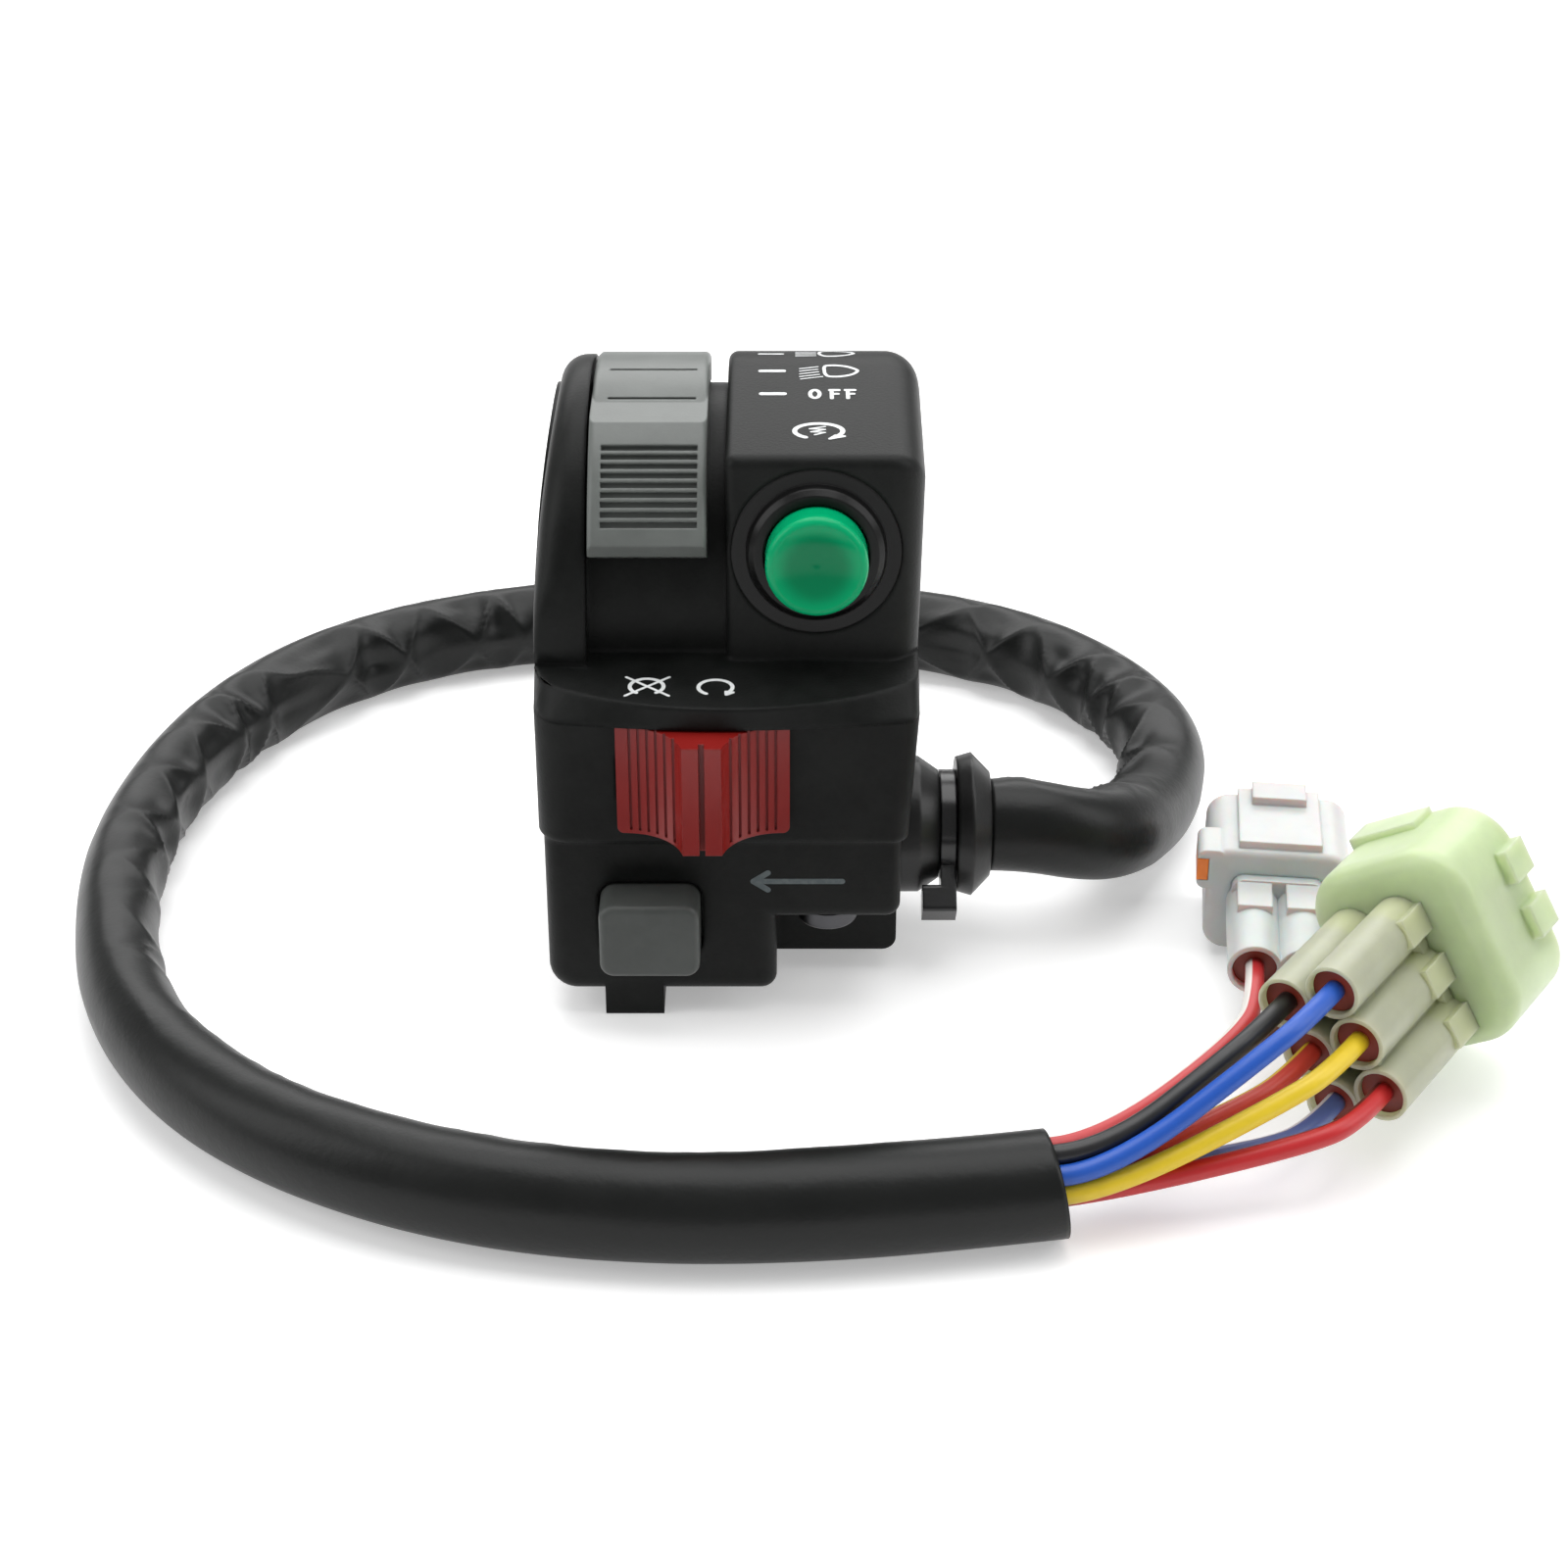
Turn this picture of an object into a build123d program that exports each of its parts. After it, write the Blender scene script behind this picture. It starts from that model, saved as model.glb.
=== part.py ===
"""Handlebar switch cluster: a two-part casing that clamps round a bar, with four controls and a lead.

Origin at the middle of the bar's axis inside the casing. X runs along the bar, to the right as the
rider sees it, Y runs away from the rider and Z points up. The casing halves meet at Z = 0.
"""
from build123d import *
import math
import os

# Shared fits
bar_radius = 11.1
slide_gap = 0.3
press_gap = 0.05
cut_over = 1.0
detent_wire_share = 0.14
detent_spring_turns = 3

# Casing, overall
casing_width = 46.8
casing_left = -casing_width / 2
casing_right = casing_width / 2
casing_rear = 21.0

# Upper casing: start block on the right, fin on the left, light channel between them
block_left = 0.0
block_face_foot = -23.5
block_lean = 5.2
block_edge_height = 29.2
block_top_slope = 8.0
block_rear_fillet = 16.0
block_side_fillet = 4.4
block_side_lean = 1.5
block_inner_fillet = 1.2
block_edge_fillet = 1.6
arc_axis_y = 2.0
arc_axis_z = 6.0
fin_radius = 26.7
fin_right = -17.0
fin_side_fillet = 4.0
fin_side_bow = 165.0
fin_bow_start = 6.0
floor_radius = 23.1

# Ledge over the stop control
ledge_mid_front = 34.4
ledge_side_top_front = 26.3
ledge_side_foot_front = 32.2
ledge_back = 19.0
ledge_height = 4.2
ledge_back_height = 3.9
ledge_tilt = 6.0
ledge_left_fillet = 4.0
ledge_right_fillet = 2.2

# Lower casing
band_front = 31.8
band_height = 17.0
band_proud = 0.7
band_left_fillet = 4.3
band_right_fillet = 2.2
band_draft = 3.6
band_foot_fillet = 0.6
body_left = -22.7
body_right = 21.5
body_drop = 39.0
body_corner_fillet = 3.6
body_left_fillet = 2.4
body_edge_fillet = 1.4
notch_left = 6.1
notch_top_drop = 28.0
notch_back = 20.2
notch_fillet = 1.8
heel_start = 4.0
heel_drop = 20.0
rail_width = 7.4
left_rail_middle = -11.9
left_rail_front = 31.0
right_rail_middle = 11.5
right_rail_front = 12.0
rail_end = 3.0
rail_height = 3.0

# Casing screws
screw_radius = 2.0
screw_head_radius = 3.8
screw_head_height = 2.3
screw_head_fillet = 0.75
screw_socket_width = 3.0
screw_socket_depth = 1.2
screw_socket_sides = 6
front_screw_x = 12.5
front_screw_y = -26.5
front_screw_tip = 2.2
rear_screw_x = 12.0
rear_screw_y = 15.6
rear_screw_tip = 12.0
rear_screw_seat_drop = 12.0

# Light control: a curved slide that rides over the channel
light_left = -16.6
light_right = -2.3
light_plate_rise = 3.55
light_thumb_rise = 2.0
light_ride_gap = 0.35
light_thumb_low = 65.2
light_thumb_low_bevel = 62.8
light_thumb_low_bevel_share = 0.25
light_thumb_high = 31.0
light_bevel_top = 20.2
light_plate_end = -24.0
light_travel = 20.0
light_edge_share = 0.22
light_rib_count = 9
light_rib_first = 38.3
light_rib_last = 57.7
light_rib_groove = 1.5
light_rib_depth = 0.7
light_rib_left = -15.0
light_rib_right = -3.4
light_line_angles = (18.6, 4.2)
light_line_width = 0.8
light_line_depth = 0.45
light_line_left = -14.6
light_line_right = -3.8
light_stem_angle = 34.0
light_stem_half_angle = 7.5
light_slot_spare_angle = 1.8
light_stem_width = 5.0
light_wall = 2.4
light_carrier_half_angle = 11.0
light_carrier_width = 10.0
light_carrier_depth = 3.9
light_pocket_width = 11.4
light_pocket_low = 49.0
light_pocket_high = -1.0
light_pocket_depth = 7.2
light_base_thickness = 1.4
light_contact_height = 0.6
light_contact_angles = (14.0, 26.0, 38.0)
light_contact_half_angle = 2.2
light_contact_width = 1.8
light_contact_side = 3.4
light_bridge_thickness = 0.5
light_bridge_half_angle = 8.0
light_contact_gap = 0.1
light_ball_radius = 1.3

# Start control: a round push button in a bezel
start_x = 10.9
start_z = 17.7
bezel_flange_radius = 10.25
bezel_flange_thickness = 1.2
bezel_collar_radius = 8.2
bezel_collar_height = 1.7
bezel_barrel_radius = 8.0
bezel_mouth_radius = 6.4
bezel_bore_radius = 7.0
bezel_shoulder = 2.0
bezel_depth = 11.0
bezel_edge = 0.7
start_button_radius = 6.15
start_button_height = 6.2
start_button_flange_radius = 6.75
start_button_flange = 1.9
start_button_rest_gap = 0.1
start_button_rim = 0.9
start_button_dish = 1.3
start_travel = 3.0
start_base_thickness = 1.4
start_stud_radius = 1.0
start_stud_head = 1.3
start_stud_spacing = 3.2
start_stud_height = 0.8
start_bridge_radius = 4.3
start_bridge_thickness = 0.6
start_bridge_gap = 0.2
start_bridge_stem_radius = 2.4
start_spring_radius = 5.6
start_spring_wire = 0.35
start_spring_turns = 4

# Stop control: a ridged slide below the ledge
kill_x = -2.8
kill_width = 21.0
kill_top_drop = 0.3
kill_height = 14.4
kill_side_front = 33.0
kill_ridge_front = 38.7
kill_ridge_half = 2.35
kill_ridge_neck_half = 2.6
kill_ridge_neck_front = 37.9
kill_flank_start = 9.5
kill_groove_width = 0.7
kill_groove_depth = 1.3
kill_line_count = 6
kill_line_first = 3.4
kill_line_last = 8.8
kill_line_width = 0.3
kill_line_depth = 0.45
kill_corner_fillet = 0.9
kill_travel = 7.0
kill_stem_half = 3.2
kill_stem_top_drop = 5.0
kill_stem_height = 5.2
kill_wall = 2.6
kill_pocket_left = -18.6
kill_pocket_right = 6.2
kill_pocket_back = 21.4
kill_pocket_drop = 14.2
kill_carrier_half = 7.0
kill_carrier_top_drop = 3.8
kill_carrier_height = 8.0
kill_carrier_depth = 3.9
kill_bridge_thickness = 0.5
kill_bridge_half = 5.2
kill_bridge_height = 1.6
kill_bridge_spread = 2.6
kill_contact_height = 0.9
kill_contact_half = 1.6
kill_contact_places = (-13.2, -8.4, 1.6)
kill_base_thickness = 2.0
kill_base_left = -17.8
kill_base_right = 5.6
kill_base_top_drop = 2.6
kill_base_drop = 13.4
kill_ball_radius = 1.5
kill_screw_places = (-16.2, 4.2)
kill_screw_radius = 0.8
kill_screw_head_radius = 1.3
kill_screw_head_height = 0.7
kill_screw_length = 4.5

# Override control: a rounded square push button
override_left = -15.8
override_right = -3.4
override_top_drop = 23.1
override_drop = 33.1
override_front = 36.9
override_corner = 1.8
override_edge_fillet = 0.8
override_travel = 3.0
override_wall = 2.6
override_flange_spare = 0.8
override_flange = 1.5
override_rest_gap = 0.1
override_pocket_margin = 1.6
override_pocket_back = 19.3
override_base_thickness = 2.0
override_contact_height = 0.8
override_contact_half = 1.0
override_contact_spacing = 3.0
override_contact_gap = 0.2
override_bridge_thickness = 0.5
override_bridge_width = 5.2
override_bridge_height = 2.4
override_stem_width = 3.0
override_spring_radius = 3.9
override_spring_wire = 0.3
override_spring_turns = 4

# Openings for the wires inside the casing
duct_radius = 4.4
duct_end = -4.0
shaft_left = -14.6
shaft_right = -4.6
shaft_front = 19.0
shaft_back = 13.6
shaft_foot = 4.6
start_duct_left = 6.9
start_duct_right = 9.6
start_duct_front = 18.6
start_duct_back = 15.6

# Grommet and tie where the lead enters
grommet_y = -10.0
grommet_z = -26.0
grommet_neck_radius = 6.1
grommet_plug = 3.8
grommet_flange_radius = 8.9
grommet_inner_flange = 3.0
grommet_inner_cone = 2.6
grommet_inner_cone_radius = 7.1
grommet_neck = 2.3
grommet_outer_rise = 2.0
grommet_outer_rise_radius = 8.8
grommet_outer_flange_radius = 9.4
grommet_outer_cone = 2.4
grommet_outer_cone_radius = 6.9
grommet_bore_radius = 4.2
tie_width = 2.0
tie_thickness = 1.0
tie_head_angle = 50.0
tie_head_start = 9.2
tie_head_length = 3.6
tie_head_width = 4.4
tie_head_depth = 4.4
tie_head_shift = 1.2

# Sleeve of the lead, lying on the surface that the casing stands on
sleeve_diameter = 12.4
bend_share = 0.45
sleeve_route = [
    (33.8, -10.0, -26.0), (39.4, -10.0, -26.0), (45.4, -8.7, -27.8), (50.4, -4.4, -30.4),
    (54.8, 3.4, -33.2), (59.6, 15.6, -35.6), (62.2, 32.0, -35.6), (56.4, 48.4, -35.6), (44.4, 63.1, -35.6),
    (24.1, 73.1, -35.6), (-4.0, 76.8, -35.6), (-33.0, 73.6, -35.6), (-53.6, 65.3, -35.6),
    (-69.5, 49.1, -35.6), (-80.0, 23.7, -35.6), (-82.0, -5.6, -35.6), (-76.9, -33.2, -35.6),
    (-65.6, -54.4, -35.6), (-46.6, -70.6, -35.6), (-20.4, -79.9, -35.6), (9.0, -81.4, -35.6),
    (37.4, -76.2, -35.6),
]

# Wires between the sleeve's end and the connectors
wire_diameter = 2.4
wire_first_run = 6.0
wire_last_run = 6.5
wire_bundle_rise = 1.4

# Both connectors
seal_length = 4.2
seal_setback = 1.0
terminal_radius = 1.1
pin_hole_radius = 1.15
ring_seal_length = 3.0
ring_seal_thickness = 0.9
pad_rise = 0.4

# Six-way connector
six_pitch = 6.7
six_tube_radius = 3.3
six_cavity_radius = 2.8
six_tube_length = 19.2
six_cavity_depth = 14.0
six_web = 1.8
six_web_setback = 1.0
six_pad_width = 3.6
six_pad_length = 5.5
six_length = 33.9
six_collar_x = (-8.6, 12.9)
six_collar_y = (-14.5, 11.2)
six_collar_corner = 6.5
six_shoulder_fillet = 2.4
six_mouth_x = (-7.1, 9.2)
six_mouth_y = (-11.6, 9.7)
six_mouth_corner = 3.0
six_collar_back = 3.6
six_core_half_width = 5.4
six_core_half_height = 8.2
six_core_corner = 1.6
six_core_setback = 1.4
six_lock_slot_x = (10.2, 11.6)
six_lock_slot_y = (-6.0, 4.6)
six_key_length = 5.0
six_side_key_height = 1.4
six_side_key_width = 4.2
six_side_keys = (-8.7, -1.4)
six_top_key_height = 0.8
six_top_key_x = (-4.8, 4.6)

# Two-way connector
two_pitch = 6.2
two_tube_radius = 3.4
two_cavity_radius = 2.8
two_tube_length = 17.0
two_cavity_depth = 12.0
two_pad_width = 4.4
two_pad_length = 7.5
two_length = 32.5
two_head_half_width = 9.2
two_head_half_height = 7.4
two_head_corner = 3.0
two_head_fillet = 0.9
two_head_wall = 1.5
two_head_back = 3.5
two_core_half_width = 5.9
two_core_half_height = 4.0
two_core_corner = 1.6
two_core_setback = 1.4
two_back_half_width = 5.3
two_back_height = 1.0
two_latch_width = 7.0
two_latch_height = 1.1
two_latch_length = 4.4
two_lobe_proud = 1.3
two_lobe_depth = 2.4
two_lobe_y = (-7.2, -1.6)
two_lobe_length = 6.4
two_lobe_corner = 1.2
two_retainer_depth = 1.5
two_retainer_y = (-6.0, -2.8)
two_retainer_length = 4.4

# Colours of the wires, with their place at the sleeve's mouth: across and up, in wire diameters,
# then which connector and cavity each goes to
wire_places = {
    "wire_red_white": (0.79, 0.91, "two", (-1, 0)),
    "wire_brown": (1.20, -0.06, "two", (1, 0)),
    "wire_black": (-0.21, 1.18, "six", (-1, -1)),
    "wire_blue": (-1.05, 0.58, "six", (1, -1)),
    "wire_red_yellow": (0.0, 0.0, "six", (-1, 0)),
    "wire_yellow": (-1.10, -0.47, "six", (1, 0)),
    "wire_blue_white": (0.71, -0.97, "six", (-1, 1)),
    "wire_red": (-0.33, -1.15, "six", (1, 1)),
}

# Corners that a wire turns on its way, where it has to pass beside a connector
wire_bends = {
    "wire_brown": (66.4, -45.6, -36.0),
    "wire_red_white": (62.0, -50.2, -32.8),
}

six_middle = (70.3, -61.0, -27.8)
six_forward = (0.568, 0.823, 0.008)
six_across = (0.693, -0.484, 0.534)
two_middle = (68.8, -34.6, -33.6)
two_forward = (0.125, 0.992, 0.0)
two_across = (0.992, -0.125, 0.0)


def slab(x_span, y_span, z_span):
    """Box between a lower and an upper value on each axis."""
    spans = (x_span, y_span, z_span)
    sizes = [high - low for low, high in spans]
    middle = [(high + low) / 2 for low, high in spans]
    return Pos(*middle) * Box(*sizes)


def rod(start, direction, radius, length):
    """Cylinder from a start point along a direction."""
    seat = Plane(origin=start, z_dir=direction)
    return seat * Cylinder(radius, length, align=(Align.CENTER, Align.CENTER, Align.MIN))


def side_prism(outline, x_span):
    """Solid between two X values, from an outline drawn in the Y-Z plane."""
    face = Pos(x_span[0], 0, 0) * make_face(Plane.YZ * outline)
    return extrude(face, amount=x_span[1] - x_span[0], dir=(1, 0, 0))


def front_plane(y):
    """Plane square to Y that faces the rider, with X across and Z up."""
    return Plane(origin=(0, y, 0), x_dir=(1, 0, 0), z_dir=(0, -1, 0))


def front_block(x_span, z_span, corner, y_front, y_back):
    """Rounded block seen from the front, between a front and a back value of Y."""
    width = x_span[1] - x_span[0]
    height = z_span[1] - z_span[0]
    middle = Pos((x_span[0] + x_span[1]) / 2, (z_span[0] + z_span[1]) / 2)
    face = front_plane(y_back) * middle * RectangleRounded(width, height, corner)
    return extrude(face, amount=y_back - y_front, dir=(0, -1, 0))


def arc_point(radius, angle):
    """Point in the Y-Z plane at an angle from upright, towards the rider, about the arc axis."""
    turn = math.radians(angle)
    return arc_axis_y - radius * math.sin(turn), arc_axis_z + radius * math.cos(turn)


def arc_between(radius, first, last):
    """Arc about the arc axis from one angle to another."""
    return ThreePointArc(
        arc_point(radius, first), arc_point(radius, (first + last) / 2), arc_point(radius, last)
    )


def sector(inner, outer, low, high, x_span):
    """Piece of a ring about the arc axis, between two angles and two X values."""
    outline = [
        arc_between(outer, low, high),
        Line(arc_point(outer, high), arc_point(inner, high)),
        arc_between(inner, high, low),
        Line(arc_point(inner, low), arc_point(outer, low)),
    ]
    return side_prism(Curve() + outline, x_span)


def coil_spring(seat, mean_radius, wire_radius, length, turns):
    """Open coil between two parallel faces, swept in quarter turns along the seat's own axis."""
    rise = length - 2 * wire_radius
    steps = 4 * turns

    def place(share):
        turn = 2 * math.pi * turns * share
        height = wire_radius + rise * share
        return mean_radius * math.cos(turn), mean_radius * math.sin(turn), height

    arcs = []
    for step in range(steps):
        start, middle, end = (place((step + part) / steps) for part in (0, 0.5, 1))
        arcs.append(ThreePointArc(start, middle, end))
    path = Wire(arcs)
    section = Plane(origin=path @ 0, z_dir=path % 0) * Circle(wire_radius)
    coil = sweep(section, path=path)
    return seat * coil


# Upper casing

def arc_body(radius, x_span):
    """Wall of the casing whose top is an arc about the arc axis, down to the parting plane."""
    front = arc_axis_y - radius
    rear_angle = -math.degrees(math.asin((casing_rear - arc_axis_y) / radius))
    rear_height = arc_point(radius, rear_angle)[1]
    front_point = (front, arc_axis_z)
    outline = [
        Line((casing_rear, 0), (front, 0)),
        Line((front, 0), front_point),
        ThreePointArc(front_point, arc_point(radius, (90 + rear_angle) / 2), (casing_rear, rear_height)),
        Line((casing_rear, rear_height), (casing_rear, 0)),
    ]
    return side_prism(Curve() + outline, x_span)


def block_edge():
    """Point where the leaning face of the start block meets its top, in Y and Z."""
    return block_face_foot + block_edge_height * math.tan(math.radians(block_lean)), block_edge_height


def start_block():
    """Right-hand block that carries the start control, with a leaning face and a sloping top."""
    edge_y, edge_z = block_edge()
    corner_z = edge_z + (casing_rear - edge_y) * math.tan(math.radians(block_top_slope))
    outline = Polyline(
        (block_face_foot, 0), (edge_y, edge_z), (casing_rear, corner_z), (casing_rear, 0), close=True
    )
    flare = corner_z * math.tan(math.radians(block_side_lean))
    block = side_prism(outline, (block_left, casing_right + flare))
    block -= side_cut(block_side_lean, (-cut_over, corner_z + cut_over))
    rear_top = block.edges().filter_by(Axis.X).sort_by(Axis.Z)[-1]
    block = fillet(rear_top, block_rear_fillet)
    front_top = block.edges().filter_by(Axis.X).filter_by_position(
        Axis.Y, edge_y - press_gap, edge_y + press_gap
    )
    block = fillet(front_top, block_edge_fillet)
    for side, radius in ((-1, block_side_fillet), (0, block_inner_fillet)):
        face = block.faces().sort_by(Axis.X)[side]
        upper = face.edges().filter_by(lambda edge: edge.center().Z > block_edge_height - block_side_fillet)
        block = fillet(upper, radius)
    return block


def side_cut(lean, z_span):
    """Everything outside the casing's right face, where that face leans out by an angle from upright."""
    room = slab((0, 2 * casing_right), (-2 * casing_right, 2 * casing_right), z_span)
    return Pos(casing_right, 0, 0) * Rot(0, lean, 0) * room


def ledge():
    """Lip over the stop control: bowed in plan, more at its top edge, with a top that tips forward."""
    def plan(side_front, z):
        left = (casing_left, -side_front)
        right = (casing_right, -side_front)
        outline = [
            ThreePointArc(left, (0, -ledge_mid_front), right),
            Line(right, (casing_right, -ledge_back)),
            Line((casing_right, -ledge_back), (casing_left, -ledge_back)),
            Line((casing_left, -ledge_back), left),
        ]
        return Pos(0, 0, z) * make_face(Curve() + outline)

    lip = loft([plan(ledge_side_foot_front, 0), plan(ledge_side_top_front, ledge_height)], ruled=True)
    slope = math.tan(math.radians(ledge_tilt))
    front = -ledge_mid_front - cut_over
    front_height = ledge_back_height + (front - block_face_foot) * slope
    back_height = ledge_back_height + (-ledge_back + cut_over - block_face_foot) * slope
    top = ledge_height + cut_over
    above = Polyline(
        (front, front_height), (-ledge_back + cut_over, back_height), (-ledge_back + cut_over, top),
        (front, top), close=True
    )
    lip -= side_prism(above, (casing_left - cut_over, casing_right + cut_over))
    for side, radius in ((casing_left, ledge_left_fillet), (casing_right, ledge_right_fillet)):
        corner = lip.edges().sort_by_distance((side, -ledge_side_foot_front, ledge_height / 2))[0]
        lip = fillet(corner, radius)
    return lip


def start_seat():
    """Plane of the start block's face at the middle of the button, facing outwards."""
    lean = math.radians(block_lean)
    face_y = block_face_foot + start_z * math.tan(lean)
    normal = (0, -math.cos(lean), math.sin(lean))
    return Plane(origin=(start_x, face_y, start_z), x_dir=(1, 0, 0), z_dir=normal)


def start_column(radius, low, high):
    """Cylinder on the start button's axis between two heights over the block's face."""
    column = Cylinder(radius, high - low, align=(Align.CENTER, Align.CENTER, Align.MIN))
    return start_seat() * Pos(0, 0, low) * column


def light_pocket_spans():
    middle = (shaft_left + shaft_right) / 2
    half = light_pocket_width / 2
    outer = floor_radius - light_wall
    return (middle - half, middle + half), outer, outer - light_pocket_depth


def light_middle():
    return (shaft_left + shaft_right) / 2


def side_fin():
    """Left-hand wall beside the light control, its outer side bowed inwards towards the top."""
    fin = arc_body(fin_radius, (casing_left, fin_right))
    top = arc_axis_z + fin_radius + cut_over
    rise = top - fin_bow_start
    lean = fin_side_bow - math.sqrt(fin_side_bow ** 2 - rise ** 2)
    half_lean = fin_side_bow - math.sqrt(fin_side_bow ** 2 - rise ** 2 / 4)
    outline = [
        ThreePointArc((casing_left, fin_bow_start), (casing_left + half_lean, fin_bow_start + rise / 2),
                      (casing_left + lean, top)),
        Line((casing_left + lean, top), (casing_left - cut_over, top)),
        Line((casing_left - cut_over, top), (casing_left - cut_over, fin_bow_start)),
        Line((casing_left - cut_over, fin_bow_start), (casing_left, fin_bow_start)),
    ]
    outside = make_face(Plane.XZ * (Curve() + outline))
    fin -= extrude(outside, amount=2 * fin_radius, both=True)
    rim = fin.edges().filter_by(lambda edge: edge.geom_type != GeomType.LINE).sort_by(Axis.X)[0]
    return fillet(rim, fin_side_fillet)


def upper_casing():
    fin = side_fin()
    floor = arc_body(floor_radius, (fin_right, block_left))
    casing = fin + floor + start_block() + ledge()
    casing -= rod((casing_left - cut_over, 0, 0), (1, 0, 0), bar_radius, casing_width + 2 * cut_over)

    casing -= start_column(bezel_flange_radius + press_gap, -bezel_flange_thickness, cut_over)
    casing -= start_column(bezel_barrel_radius + press_gap, -bezel_depth, cut_over)
    casing -= slab(
        (start_duct_left, start_duct_right), (-start_duct_front, -start_duct_back),
        (-cut_over, start_z - bezel_mouth_radius),
    )

    pocket_x, pocket_outer, pocket_inner = light_pocket_spans()
    casing -= sector(pocket_inner, pocket_outer, light_pocket_high, light_pocket_low, pocket_x)
    casing -= slab((shaft_left, shaft_right), (-shaft_front, -shaft_back), (-cut_over, shaft_back))
    slot_half = light_stem_width / 2 + slide_gap
    slot_low = light_stem_angle + light_stem_half_angle + light_slot_spare_angle
    slot_high = light_stem_angle - light_stem_half_angle - light_travel - light_slot_spare_angle
    slot_x = (light_middle() - slot_half, light_middle() + slot_half)
    casing -= sector(pocket_outer - cut_over, floor_radius + cut_over, slot_high, slot_low, slot_x)

    casing -= rod((front_screw_x, front_screw_y, -cut_over), (0, 0, 1), screw_radius + press_gap,
                  cut_over + front_screw_tip)
    for side in (-1, 1):
        casing -= rod((side * rear_screw_x, rear_screw_y, -cut_over), (0, 0, 1),
                      screw_radius + press_gap, cut_over + rear_screw_tip)
    return casing


# Lower casing

def lower_shell():
    """Outer form of the lower half: a body with a wider band along its top edge."""
    front = -band_front + band_proud
    body = slab((body_left, body_right), (front, casing_rear), (-body_drop, 0))
    low_left, low_right = body.edges().filter_by(Axis.Y).sort_by(Axis.Z)[:2].sort_by(Axis.X)
    body = fillet(low_left, body_corner_fillet)
    low_right = body.edges().filter_by(Axis.Y).sort_by(Axis.X)[-2:].sort_by(Axis.Z)[0]
    body = fillet(low_right, notch_fillet)
    heel = Polyline(
        (heel_start, -body_drop - cut_over), (casing_rear + cut_over, -body_drop - cut_over),
        (casing_rear + cut_over, -heel_drop), (heel_start, -body_drop), close=True
    )
    body -= side_prism(heel, (body_left - cut_over, body_right + cut_over))
    body -= slab(
        (notch_left, body_right + cut_over), (-band_front - cut_over, -notch_back),
        (-body_drop - cut_over, -notch_top_drop),
    )
    for x, z in ((notch_left, -body_drop), (body_right, -notch_top_drop)):
        corner = body.edges().filter_by(Axis.Y).sort_by_distance((x, front, z))[0]
        body = fillet(corner, notch_fillet)
    for side, radius in ((-1, body_left_fillet), (1, body_edge_fillet)):
        front_face = body.faces().sort_by(Axis.Y)[0]
        rim = front_face.edges().filter_by(lambda edge: edge.center().Z < -band_proud)
        rim = rim.filter_by(lambda edge: side * (edge.center().X - notch_left) > 0)
        body = fillet(rim, radius)
    return body


def band_plan(z, right):
    """Outline of the band at one height, with its two front corners rounded."""
    middle = Pos((casing_left + right) / 2, (casing_rear - band_front) / 2, z)
    face = middle * Rectangle(right - casing_left, casing_rear + band_front)
    for side, radius in ((casing_left, band_left_fillet), (right, band_right_fillet)):
        corner = face.vertices().sort_by_distance((side, -band_front, z))[0]
        face = fillet(corner, radius)
    return face


def lower_band():
    """Band along the parting line, a little proud of the body, its right side with some draft."""
    low_right = casing_right - band_height * math.tan(math.radians(band_draft))
    band = loft([band_plan(0, casing_right), band_plan(-band_height, low_right)], ruled=True)
    lower_edges = band.faces().sort_by(Axis.Z)[0].edges()
    return fillet(lower_edges, band_foot_fillet)


def lower_rails():
    """Two moulded rails under the casing, the left one showing below its front edge."""
    half = rail_width / 2
    rails = []
    for middle, front in ((left_rail_middle, left_rail_front), (right_rail_middle, right_rail_front)):
        rails.append(slab((middle - half, middle + half), (-front, rail_end),
                          (-body_drop - rail_height, -body_drop + body_left_fillet)))
    return rails


def kill_slot():
    """Window in the front wall for the stop control's stem, over its whole travel."""
    return slab(
        (kill_x - kill_stem_half - kill_travel - slide_gap, kill_x + kill_stem_half + slide_gap),
        (-band_front - cut_over, -band_front + kill_wall + cut_over),
        (-kill_stem_top_drop - kill_stem_height - slide_gap, -kill_stem_top_drop + slide_gap),
    )


def override_pocket():
    """Chamber behind the override button, and the hole in the wall that the button passes."""
    wall_front = -band_front + band_proud
    wall_back = wall_front + override_wall
    margin = override_pocket_margin
    chamber = slab(
        (override_left - margin, override_right + margin), (wall_back, -override_pocket_back),
        (-override_drop - margin, -override_top_drop + margin),
    )
    hole = front_block(
        (override_left - slide_gap, override_right + slide_gap),
        (-override_drop - slide_gap, -override_top_drop + slide_gap),
        override_corner + slide_gap, wall_front - cut_over, wall_back + cut_over,
    )
    return chamber + hole


def lower_ducts():
    """Ways for the wires from the grommet to the chambers and up to the casing's other half."""
    way = rod((body_right - grommet_plug + cut_over, grommet_y, grommet_z), (-1, 0, 0), duct_radius,
              body_right - grommet_plug + cut_over - duct_end)
    way += slab((duct_end - duct_radius, duct_end + duct_radius),
                (-override_pocket_back - cut_over, grommet_y),
                (grommet_z - duct_radius / 2, grommet_z + duct_radius / 2))
    way += slab((start_duct_left, start_duct_right), (-start_duct_front, grommet_y),
                (grommet_z - duct_radius / 2, grommet_z + duct_radius / 2))
    way += slab((start_duct_left, start_duct_right), (-start_duct_front, -start_duct_back),
                (grommet_z - duct_radius / 2, cut_over))
    way += slab((shaft_left, shaft_right), (-kill_pocket_back - cut_over, -shaft_back),
                (-shaft_foot, cut_over))
    return way


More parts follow.
